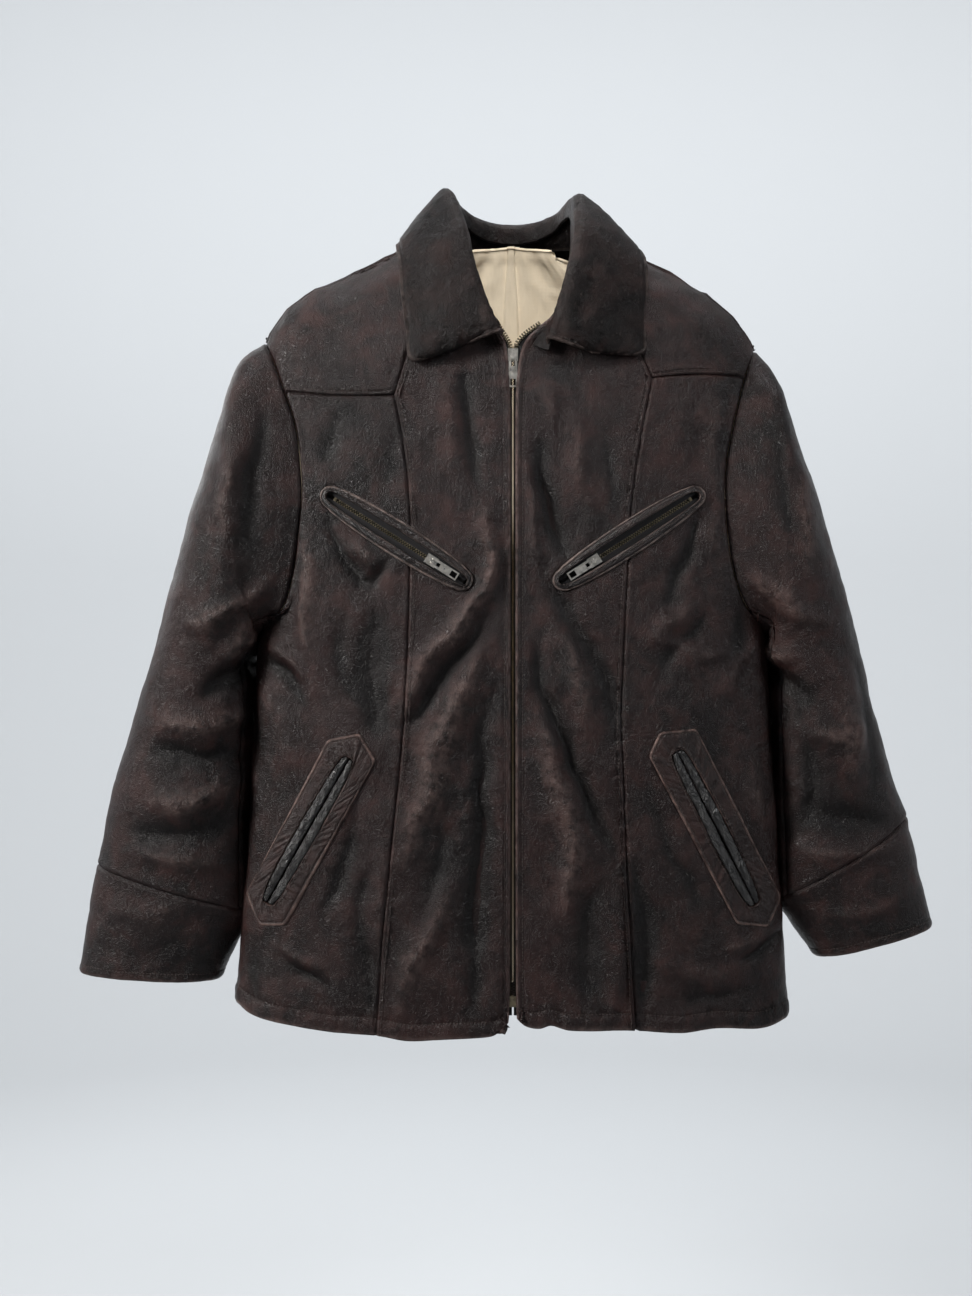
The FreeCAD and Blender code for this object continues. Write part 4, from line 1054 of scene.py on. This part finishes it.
def ring_piece(name, outer, inner, lifts, material, side, stitch_at=3.4, pucker=1.1):
    """A patch between two outlines given as (x, z).  lifts are (distance from the outer edge, height) pairs."""
    def between(t, lift):
        return on_front(*(outer + (inner - outer) * t).T, lift)
    gap = np.linalg.norm(outer - inner, axis=1)
    dist, high = np.array(lifts, float).T
    middle = np.arange(dist[-1] + GRID, float(np.max(gap)) - 3.0, GRID)
    loop_run = run_of(outer)
    rows = [on_front(*(outer + (outer - inner) / gap[:, None] * 0.15).T, -1.2)]
    wear = [0.0]
    for d, h in list(zip(dist, high)) + [(m, high[-1]) for m in middle]:
        q = np.stack([loop_run, np.full_like(loop_run, d * 0.35), np.full_like(loop_run, 40.0 * side)], -1)
        rumple = pucker * crease(q, (5.0, 9.0, 9.0), 37) * smoothstep(2.6, 5.5, d)
        rows.append(between(np.clip(d / gap, 0, 0.93)[:, None], h + rumple))
        wear.append(math.exp(-((d - 1.0) / 1.3) ** 2))
    for t, drop in ((0.96, 0.2), (0.985, 0.9), (1.0, 2.2)):
        rows.append(between(t, high[-1] - drop))
        wear.append(0.5)
    rows.append(on_front(*(inner + (inner - outer) / gap[:, None] * 0.4).T, -4.5))
    wear.append(0.0)
    faces = quads(len(rows), len(outer), wrap=True)
    obj = mesh_object(name, np.vstack(rows), faces, material, {"wear": np.repeat(wear, len(outer))})
    place(obj, [name])
    for t, lift in ((stitch_at / gap, float(np.interp(stitch_at, dist, high))), (1 - 3.0 / gap, high[-1] + 0.1)):
        path = between(np.clip(t, 0, 0.9)[:, None], lift)
        stitch_paths.append((path, np.tile([0.0, -1.0, 0.0], (len(path), 1)), "jacket"))


def flipped(points, side):
    """An outline drawn for the left side, on either side and always anticlockwise."""
    p = np.asarray(points, float)
    if side < 0:
        p = (p * [-1, 1])[::-1]
    return p


def capsule(line_pts, half, count, sharp=1.0, end=1.0):
    """An outline round a straight slot.  end is the width at its ends as a share of the width in its middle."""
    a, b = np.asarray(line_pts, float)
    d = (b - a) / np.linalg.norm(b - a)
    n = np.array([-d[1], d[0]])
    t = np.linspace(-math.pi / 2, math.pi / 2, 15)
    u = np.linspace(0.04, 0.96, 24)
    wide = half * (end + (1 - end) * np.sin(np.pi * u) ** 0.6)
    cap = half * end
    path = [b + d * cap * math.cos(k) * sharp + n * cap * math.sin(k) for k in t]
    path += [b + (a - b) * v + n * w for v, w in zip(u, wide)]
    path += [a - d * cap * math.cos(k) * sharp - n * cap * math.sin(k) for k in t]
    path += [a + (b - a) * v - n * w for v, w in zip(u, wide)]
    return closed_outline(np.array(path), count)


PATCH = {1: [(131, -437), (121, -458), (202, -611), (231, -615), (246, -591), (164, -434)],
         -1: [(136.5, -438), (122, -462), (204, -612), (229, -614), (243, -586), (166, -444)]}
MOUTH = {1: ((148.5, -458), (217, -590)), -1: ((148, -464), (220, -589))}
PATCH_LIFTS = [(0, -0.2), (0.3, 0.7), (1.0, 1.25), (2.0, 1.4), (2.9, 1.15), (3.4, 0.75), (3.9, 1.15),
               (5.0, 1.5), (7.0, 1.55)]
FRAME_LIFTS = [(0, -0.4), (0.4, 0.9), (1.1, 1.5), (2.0, 1.6), (2.7, 0.8), (3.4, 1.6), (4.6, 2.3), (5.6, 2.6)]


def match_loops(outer, inner):
    """Starts the inner outline at the point nearest the outer one's start."""
    shift = int(np.argmin(np.linalg.norm(inner - outer[0], axis=1)))
    return np.roll(inner, -shift, axis=0)


def build_pockets():
    for side in (1, -1):
        name = SIDE_NAME[side]
        outer = anticlockwise(rounded_loop(flipped(PATCH[side], side), 3.5, 260))
        inner = anticlockwise(flipped(capsule(MOUTH[side], 9.2, 260, 0.7, end=0.72), side))
        ring_piece(f"hand_pocket_patch_{name}", outer, match_loops(outer, inner), PATCH_LIFTS, POCKET_LEATHER, side)
        build_welts(side)
        frame_line = CHEST_LINE * [side, 1]
        outer = anticlockwise(capsule(frame_line, 15.5, 240, 1.1, end=0.66))
        inner = anticlockwise(capsule(frame_line, 7.0, 240, 1.1, end=0.7))
        ring_piece(f"chest_pocket_frame_{name}", outer, match_loops(outer, inner), FRAME_LIFTS, FRAME_LEATHER, side,
                   stitch_at=2.7, pucker=0.6)


def build_welts(side):
    a, b = (np.array(p, float) for p in MOUTH[side])
    d = (b - a) / np.linalg.norm(b - a)
    n = np.array([-d[1], d[0]])
    span = np.linspace(-3.0, np.linalg.norm(b - a) + 3.0, 90)
    around = np.radians(np.linspace(0, 360, 19)[:-1])
    for which, across in (("front", -1), ("back", 1)):
        rows = []
        for s in span:
            t = np.clip(s / np.linalg.norm(b - a), 0, 1)
            pinch = 0.55 + 0.45 * math.sin(math.pi * t) ** 0.35
            wave = 0.5 * math.sin(s / 9.0 + across) + 0.35 * math.sin(s / 3.7 + 2 * across)
            mid = a + d * s + n * across * (5.0 * pinch + 0.1 * wave)
            half = 4.3 * pinch + 0.2 * wave
            ring = []
            for w in around:
                u, h = math.cos(w) * half, math.sin(w) * 2.2
                ring.append(on_bare_front(mid + n * u, h + 0.4 + 0.25 * wave, side))
            rows.append(ring)
        grid = mirrored(np.array(rows), side)
        rumple = 0.55 * crease(grid, (7, 9, 6), 77)
        grid = grid + unit(grid - grid.mean(1, keepdims=True)) * rumple[..., None]
        count = len(around)
        verts = np.vstack([grid.reshape(-1, 3), grid[0].mean(0), grid[-1].mean(0)])
        faces = quads(len(span), count, wrap=True).tolist()
        last = len(verts)
        faces += [[last - 2, (k + 1) % count, k] for k in range(count)]
        base = (len(span) - 1) * count
        faces += [[last - 1, base + k, base + (k + 1) % count] for k in range(count)]
        node = f"hand_pocket_{which}_welt_{SIDE_NAME[side]}"
        obj = mesh_object(node, verts, faces, WELT_LEATHER, {"wear": np.zeros(len(verts))})
        place(obj, [node])


def on_bare_front(q, lift, side):
    """A point on the front without its folds, from a distance from the middle and a height, raised by lift."""
    half_width = float(np.interp(q[1], TORSO[:, 0], TORSO[:, 1]))
    y = -front_depth(q[1]) * (1 - (abs(q[0]) / half_width) ** 2.9) ** (1 / 2.9)
    return [side * q[0], y - lift + 0.6, q[1]]


# ------------------------------------------------------------------ collar
# From the front end round to the back: foot of the stand, roll line and edge of the leaf.
COLLAR = {
    1: [((11, -58, -89), (32, -70, -89), (70, -66, -100)),
        ((28, -56, -72), (40, -68, -64), (113, -61, -101)),
        ((46, -52, -48), (50, -63, -33), (119.5, -54, -82)),
        ((62, -42, -24), (57, -50, -2), (122, -44, -44)),
        ((76, -26, -4), (61, -33, 30), (122, -30, -12)),
        ((82, -4, 8), (63, -8, 55), (116, -8, 6)),
        ((78, 18, 12), (58, 20, 60), (104, 22, 8)),
        ((62, 36, 18), (46, 41, 53), (84, 50, 5)),
        ((34, 47, 20), (25, 51, 47), (46, 68, 0)),
        ((0, 49, 20), (0, 54, 45), (0, 74, -3))],
    -1: [((6, -58, -88), (10.5, -68, -82), (50, -66, -96)),
         ((20, -57, -74), (23, -67, -60), (89, -64, -107)),
         ((40, -53, -50), (34, -62, -30), (95, -57, -80)),
         ((58, -44, -26), (41, -52, -3), (100, -50, -44)),
         ((74, -28, -5), (48, -36, 28), (103, -34, -12)),
         ((82, -6, 8), (58, -12, 58), (106, -10, 9)),
         ((78, 18, 12), (61, 16, 66), (102, 20, 9)),
         ((62, 36, 18), (48, 40, 57), (84, 50, 5)),
         ((34, 47, 20), (26, 51, 48), (46, 68, 0)),
         ((0, 49, 20), (0, 54, 45), (0, 74, -3))]}


COLLAR_STEPS = 12     # columns between two stations
COLLAR_FALL = 92.0                    # usual distance from the stand over the roll to the edge
COLLAR_STITCH = 7.8
COLLAR_MARKS = [0, 0.8, 2.0, 3.6, 5.2, 6.8, 7.8, 8.8, 10.4]


def collar_stations():
    """Feet, rolls and edges from the right front end round the back to the left front end."""
    shares = np.arange(COLLAR_STEPS) / COLLAR_STEPS
    out = []
    for part in range(3):
        left = np.array([s[part] for s in COLLAR[1]], float)
        right = np.array([s[part] for s in COLLAR[-1]], float) * [-1, 1, 1]
        run = np.vstack([right, left[::-1][1:]])
        ext = extended(run)
        out.append(np.array([spline(*ext[k - 1:k + 3], t) for k in range(1, len(ext) - 2) for t in shares] + [run[-1]]))
    return out


def shell_object(name, grid, thick, material, wear):
    """A closed piece with a face, a back and rounded edges."""
    rows, cols = grid.shape[:2]
    n = grid_normals(grid).reshape(-1, 3)
    flat = grid.reshape(-1, 3)
    back = flat - n * thick
    loop = rim_loop(rows, cols)
    along = np.roll(flat[loop], -1, 0) - np.roll(flat[loop], 1, 0)
    out = unit(np.cross(along, n[loop])) * thick * 0.256
    mid_a = flat[loop] - n[loop] * thick * 0.22 + out
    mid_b = flat[loop] - n[loop] * thick * 0.78 + out
    verts = np.vstack([flat, back, mid_a, mid_b])
    count, size = len(loop), len(flat)
    a, b = 2 * size + np.arange(count), 2 * size + count + np.arange(count)
    inner = quads(rows, cols, base=size)[:, ::-1]
    walls = [np.stack([p, q, np.roll(q, -1), np.roll(p, -1)], -1)
             for p, q in ((loop, a), (a, b), (b, size + loop))]
    wear = wear.reshape(-1)
    wear = np.concatenate([wear, wear * 0.5, wear[loop], wear[loop]])
    return mesh_object(name, verts, np.vstack([quads(rows, cols), inner] + walls), material, {"wear": wear})


def build_collar():
    foot, roll, edge = collar_stations()
    flat_dir = -roll * [1, 1, 0]
    flat_dir[:, 1] += 6
    inward = unit(flat_dir)
    ends = np.minimum(np.arange(len(roll)), np.arange(len(roll))[::-1]) / (len(roll) / 18.0)
    soft = smoothstep(0, 2.0, ends)[:, None]
    inward = inward * (0.35 + 0.65 * soft)
    fall = edge - roll
    up = np.array([0, 0, 1.0])
    side_dir = unit(np.cross(fall, np.gradient(roll, axis=0)))
    outward = np.where(roll[:, 1] < 0, -side_dir[:, 1], side_dir[:, 2])
    away = np.where((outward < 0)[:, None], -side_dir, side_dir)
    control = np.stack([roll + inward * 7 - up * (16 * soft + 3), roll + inward * 4.5 - up * 5 * soft,
                        roll, roll + fall * 0.09 + away * 2.6, roll + fall * 0.38 + away * 3.2,
                        roll + fall * 0.72 + away * 1.6, edge])
    us = np.arange(control.shape[1])
    marks = np.concatenate([COLLAR_MARKS, np.arange(13, COLLAR_FALL - 6, GRID * 1.1),
                            COLLAR_FALL - np.array([3, 1, 0])]) / COLLAR_FALL
    base = np.array([catmull(control[::-1, column], marks) for column in us]).transpose(1, 0, 2)
    keep = spaced(len(us) * 4.0, COLLAR_MARKS, COLLAR_MARKS, 3.4)
    base = np.stack([read_at(keep * (len(us) - 1), us, row) for row in base])
    normal = grid_normals(base)
    d_edge = arc_run(base, 0)
    run = arc_run(base, 1)
    d_low = np.minimum(run, run[:, -1:] - run)
    dist = np.minimum(d_edge, d_low)
    q = np.stack([run, d_edge, run * 0], -1)
    height = (1.0 * smoothstep(11.0, 6.0, dist) - 0.8 * np.exp(-((dist - COLLAR_STITCH) / 1.1) ** 2)
              - 0.9 * np.exp(-(dist / 1.2) ** 2) + 0.55 * crease(q, (14, 22, 9), 91) * smoothstep(0, 30, dist)
              + 0.6 * fbm(base, (40, 40, 30), 2, 92) + 0.35 * crease(q, (9, 30, 9), 95) * np.exp(-(dist / 9) ** 2))
    top_run = (d_edge[-1:] - d_edge)
    wear = 0.85 * np.exp(-((dist - 1.2) / 1.6) ** 2) + 0.35 * np.exp(-((top_run - 17) / 5.0) ** 2)
    grid = base + normal * height[..., None]
    obj = shell_object("top_collar", grid, 2.8, COLLAR_LEATHER, wear)
    place(obj, ["top_collar", "under_collar"])
    inside = np.flatnonzero(d_low[0] > COLLAR_STITCH)
    surface = [[np.interp(COLLAR_STITCH, d_edge[:, c], grid[:, c, a]) for a in range(3)] for c in inside]
    stitch_paths.append((np.array(surface), normal[7, inside], "jacket"))
    for flip in (False, True):
        g = grid[:, ::-1] if flip else grid
        r = (run[:, -1:] - run)[:, ::-1] if flip else run
        nn = normal[:, ::-1] if flip else normal
        count = int(len(g) * 0.62)
        path = np.array([[np.interp(COLLAR_STITCH, r[k], g[k, :, a]) for a in range(3)] for k in range(8, count)])
        stitch_paths.append((path, nn[8:count, 7], "jacket"))
    build_stand(foot, roll, inward)


def build_stand(foot, roll, inward):
    ts = np.linspace(0, 1, 16)[:, None, None]
    top = roll + inward * 6.2 - [0, 0, 9.0]
    base = foot[None] * (1 - ts) + top[None] * ts
    bow = np.sin(np.pi * ts) * 2.0
    base = base + inward[None] * bow
    base = base[:, ::-1] if grid_normals(base)[8, len(foot) // 2] @ np.array([0, -1.0, 0]) < 0 else base
    n = grid_normals(base)
    d = arc_run(base, 0)
    height = 0.35 * fbm(base, (26, 26, 18), 2, 55) - hump(d, 0.6, 0, 1.4) - hump(d, 0.5, 5, 0.9)
    grid = base + n * height[..., None]
    obj = shell_object("collar_stand", grid, 2.2, COLLAR_LEATHER,
                       hump(d, 0.5, 1.5, 1.5))
    place(obj, ["collar_stand"])
    build_label(grid[:, grid.shape[1] // 2])


def build_label(centre):
    """A small blank woven tab sewn under the foot of the stand."""
    z = np.linspace(13.0, 24.5, 9)
    x = np.linspace(-5.5, 6.0, 9) + 2.5
    y = float(centre[2, 1]) - 1.6
    grid = np.array([[(a, y - 0.5 * math.sin((a + b) / 3.0) - 0.12 * (24.5 - b), b) for a in x] for b in z])
    sheet_piece("neck_label", grid, LABEL, "label", thick=0.5, tuck=1.0)


# ------------------------------------------------------------------ zips
CHAIN_DEPTH, CHEST_CHAIN_DEPTH = 4.3, 2.15
TAPE_THICK = 0.6
TAPE_EDGE = {1: [(0.9, -690), (0.9, -300), (0.9, -112), (3.0, -93), (7.5, -85), (14, -79), (24, -72)],
             -1: [(0.9, -690), (0.9, -300), (0.9, -112), (2.6, -93), (5.5, -86), (9, -80), (14, -72)]}


def build_main_tape():
    for side in (1, -1):
        name = SIDE_NAME[side]
        edge = catmull(TAPE_EDGE[side], 150)
        across = np.linspace(0, 14, 7)
        slope = np.gradient(edge, axis=0)
        slope /= np.linalg.norm(slope, axis=1, keepdims=True)
        normal = np.stack([slope[:, 1], -slope[:, 0]], 1)
        flat = edge[:, None] + normal[:, None] * across[None, :, None]
        y = -front_depth(flat[..., 1]) + CHAIN_DEPTH + 0.4
        grid = np.stack([side * flat[..., 0], y, flat[..., 1]], -1)
        sheet_piece(f"main_zip_tape_{name}", mirrored(grid, side), TAPE, "zip_tape", thick=TAPE_THICK, tuck=0.8)
        run = catmull(TAPE_EDGE[side][2:], 20)[4:]
        verts, faces = [], []
        for k, (x, z) in enumerate(run):
            along = run[min(k + 1, len(run) - 1)] - run[max(k - 1, 0)]
            along = along / np.linalg.norm(along)
            inward = np.array([-along[1], along[0]])
            y = -float(front_depth(z)) + CHAIN_DEPTH
            add_box(verts, faces, np.array([side * (x + inward[0] * 0.4), y, z + inward[1] * 0.4]),
                    np.array([side * inward[0], 0, inward[1]]) * 2.0, np.array([side * along[0], 0, along[1]]) * 0.62,
                    np.array([0, 1.15, 0]))
        obj = mesh_object(f"zip_teeth_open_{name}", verts, faces, BRASS, smooth=False)
        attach(obj, "jacket")


def add_box(verts, faces, centre, a, b, c):
    base = len(verts)
    for i in (-1, 1):
        for j in (-1, 1):
            for k in (-1, 1):
                verts.append(centre + a * i + b * j + c * k)
    order = [(0, 1, 3, 2), (4, 6, 7, 5), (0, 4, 5, 1), (2, 3, 7, 6), (0, 2, 6, 4), (1, 5, 7, 3)]
    if np.dot(np.cross(a, b), c) < 0:
        order = [f[::-1] for f in order]
    faces.extend([tuple(base + i for i in f) for f in order])


def build_chest_tape():
    for side in (1, -1):
        a, b = CHEST_LINE
        d = (b - a) / np.linalg.norm(b - a)
        n = np.array([-d[1], d[0]])
        s = np.linspace(-4, np.linalg.norm(b - a) + 4, 60)
        across = np.array([-9.5, -6, -3, -1.75, -1.5, 0, 1.5, 1.75, 3, 6, 9.5])
        flat = a + s[None, :, None] * d + across[:, None, None] * n
        share = front_share(flat[..., 0], flat[..., 1])
        ends = body_at(front_share(CHEST_LINE[:, 0], CHEST_LINE[:, 1]), CHEST_LINE[:, 1])[:, 1]
        y = np.maximum(np.interp(flat[..., 0], CHEST_LINE[:, 0], ends), body_at(share, flat[..., 1])[..., 1])
        y = y + CHEST_CHAIN_DEPTH + np.where(np.abs(across) > 1.6, -1.35, 1.9)[:, None]
        grid = np.stack([side * flat[..., 0], y, flat[..., 1]], -1)
        sheet_piece(f"chest_zip_tape_{SIDE_NAME[side]}", mirrored(grid, side), TAPE, "zip_tape",
                    thick=TAPE_THICK, tuck=0.8)


def dress_metal():
    """The zip metal keeps the shape of its parts in the frame."""
    sides = SIDE_NAME.values()
    brass = [f"chest_zip_{part}_{name}" for part in ("teeth", "stops") for name in sides]
    steel = [f"chest_zip_{part}_{name}" for part in ("slider", "pull") for name in sides]
    for material, slot, nodes in (
            (BRASS, "zip_metal", ["main_zip_top_stops", "main_zip_retainer_box", "main_zip_insert_pin"] + brass),
            # The main zip's teeth get the brass painted dark as shade in the slot.
            (SLOT_SHADE_BRASS, "zip_metal", [f"main_zip_teeth_{name}" for name in sides]),
            (STEEL, "pull_metal", ["main_zip_slider", "main_zip_pull"] + steel)):
        for node in nodes:
            obj = bpy.data.objects[node]
            obj.data.materials.clear()
            obj.data.materials.append(material)


# ------------------------------------------------------------------ stitching
STITCH_PITCH, STITCH_LENGTH, STITCH_HALF = 3.2, 2.3, 0.36


def build_stitches():
    groups = {}
    for path, normals, body in stitch_paths:
        if body is not None and len(path) > 3:
            groups.setdefault(body, []).append((path, normals))
    for body, paths in groups.items():
        verts, faces = [], []
        for path, normals in paths:
            add_stitches(verts, faces, path, normals)
        obj = mesh_object(f"stitching_{body}", np.vstack(verts), np.vstack(faces), THREAD)
        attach(obj, body)


def add_stitches(verts, faces, path, normals):
    d = run_of(path)
    starts = np.arange(2.0, d[-1] - STITCH_PITCH, STITCH_PITCH)
    if len(starts) == 0:
        return
    ring_at = np.array([0.0, 0.14, 0.86, 1.0]) * STITCH_LENGTH
    girth = np.array([0.25, 1.0, 1.0, 0.25]) * STITCH_HALF
    lift = np.array([-0.3, 0.16, 0.16, -0.3])
    w = np.radians([0, 60, 120, 180, 240, 300])
    along = unit(np.gradient(path, axis=0))
    base = sum(len(v) for v in verts)
    block = []
    for k in range(4):
        at = starts + ring_at[k]
        n = read_at(at, d, normals)
        across = unit(np.cross(read_at(at, d, along), n))
        p = read_at(at, d, path) + n * lift[k]
        block.append(p[:, None] + (across[:, None] * np.cos(w)[None, :, None]
                                   + n[:, None] * np.sin(w)[None, :, None]) * girth[k])
    block = np.stack(block, 1)
    verts.append(block.reshape(-1, 3))
    one = []
    for k in range(3):
        for j in range(6):
            one.append((k * 6 + j, k * 6 + (j + 1) % 6, (k + 1) * 6 + (j + 1) % 6, (k + 1) * 6 + j))
    one = np.array(one)
    faces.append((base + 24 * np.arange(len(starts))[:, None, None] + one[None]).reshape(-1, 4))


# ------------------------------------------------------------------ floor, light and camera
def build_stage():
    rows, cols = [], 72
    floor_z, radius, curve = -1.62, 3.2, 1.6
    profile = [(0.0001, floor_z)] + [(radius * t, floor_z) for t in np.linspace(0.1, 1, 8)]
    profile += [(radius + curve * math.sin(a), floor_z + curve * (1 - math.cos(a)))
                for a in np.linspace(0.1, math.pi / 2, 14)]
    profile += [(radius + curve, floor_z + curve + h) for h in (1.0, 2.5, 4.5)]
    for r, z in profile:
        t = np.linspace(0, 2 * math.pi, cols, endpoint=False)
        rows.append(np.stack([r * np.cos(t), r * np.sin(t), np.full(cols, z)], 1))
    grid = np.array(rows) / MM
    n = Nodes("studio paper")
    paper = n.finish((0.40, 0.412, 0.424), 0.95, Specular_IOR_Level=0.05)
    mesh = bpy.data.meshes.new("studio")
    mesh.from_pydata((grid.reshape(-1, 3) * MM).tolist(), [], quads(len(profile), cols, wrap=True).tolist())
    mesh.shade_smooth()
    mesh.materials.append(paper)
    obj = bpy.data.objects.new("studio", mesh)
    COLLECTION.objects.link(obj)


def soft_light(name, at, aim, size, power, tint=(1.0, 1.0, 1.0), spread=180):
    data = bpy.data.lights.new(name, "AREA")
    data.shape, data.size, data.size_y = "RECTANGLE", size[0], size[1]
    data.energy, data.color, data.spread = power, tint, math.radians(spread)
    obj = bpy.data.objects.new(name, data)
    obj.location = at
    obj.rotation_euler = (Vector(aim) - Vector(at)).to_track_quat("-Z", "Y").to_euler()
    obj.visible_camera = False
    COLLECTION.objects.link(obj)


CAMERA_AT = (-0.024, -1.375, -0.362)
LENS = 41.0


def build_light_and_camera():
    soft_light("window", (-2.25, -1.05, 0.70), (0, 0, -0.45), (0.6, 1.2), 140.0, (1.0, 0.985, 0.96))
    soft_light("right fill", (2.1, -1.0, 0.35), (0, 0, -0.42), (0.6, 1.2), 30.0, (0.96, 0.98, 1.0))
    soft_light("high front", (-0.1, -1.1, 1.5), (0, 0.05, -0.06), (0.3, 0.3), 0.68, (1.0, 0.99, 0.97), spread=20)
    soft_light("back left", (-1.6, 1.9, 0.8), (0, 0, -0.4), (1.2, 1.6), 12.0)
    soft_light("wall high", (0, 1.0, 2.3), (0, 4.7, 0.0), (3.0, 0.8), 262.0, (0.97, 0.985, 1.0))
    soft_light("wall low", (0, 1.6, -0.5), (0, 4.7, -0.2), (3.0, 0.6), 6.0, (0.97, 0.985, 1.0))
    world = bpy.data.worlds.new("soft air")
    world.use_nodes = True
    world.node_tree.nodes["Background"].inputs["Color"].default_value = (0.86, 0.90, 0.95, 1.0)
    world.node_tree.nodes["Background"].inputs["Strength"].default_value = 0.07
    bpy.context.scene.world = world
    data = bpy.data.cameras.new("camera")
    data.lens, data.sensor_width, data.clip_end = LENS, 36.0, 50.0
    camera = bpy.data.objects.new("camera", data)
    camera.location = CAMERA_AT
    camera.rotation_euler = (math.pi / 2, 0, 0)
    COLLECTION.objects.link(camera)
    bpy.context.scene.camera = camera
    bpy.context.scene.view_settings.view_transform = "Standard"


build_body()
build_inside()
build_sleeves()
build_pockets()
build_collar()
build_main_tape()
build_chest_tape()
dress_metal()
build_stitches()
build_stage()
build_light_and_camera()
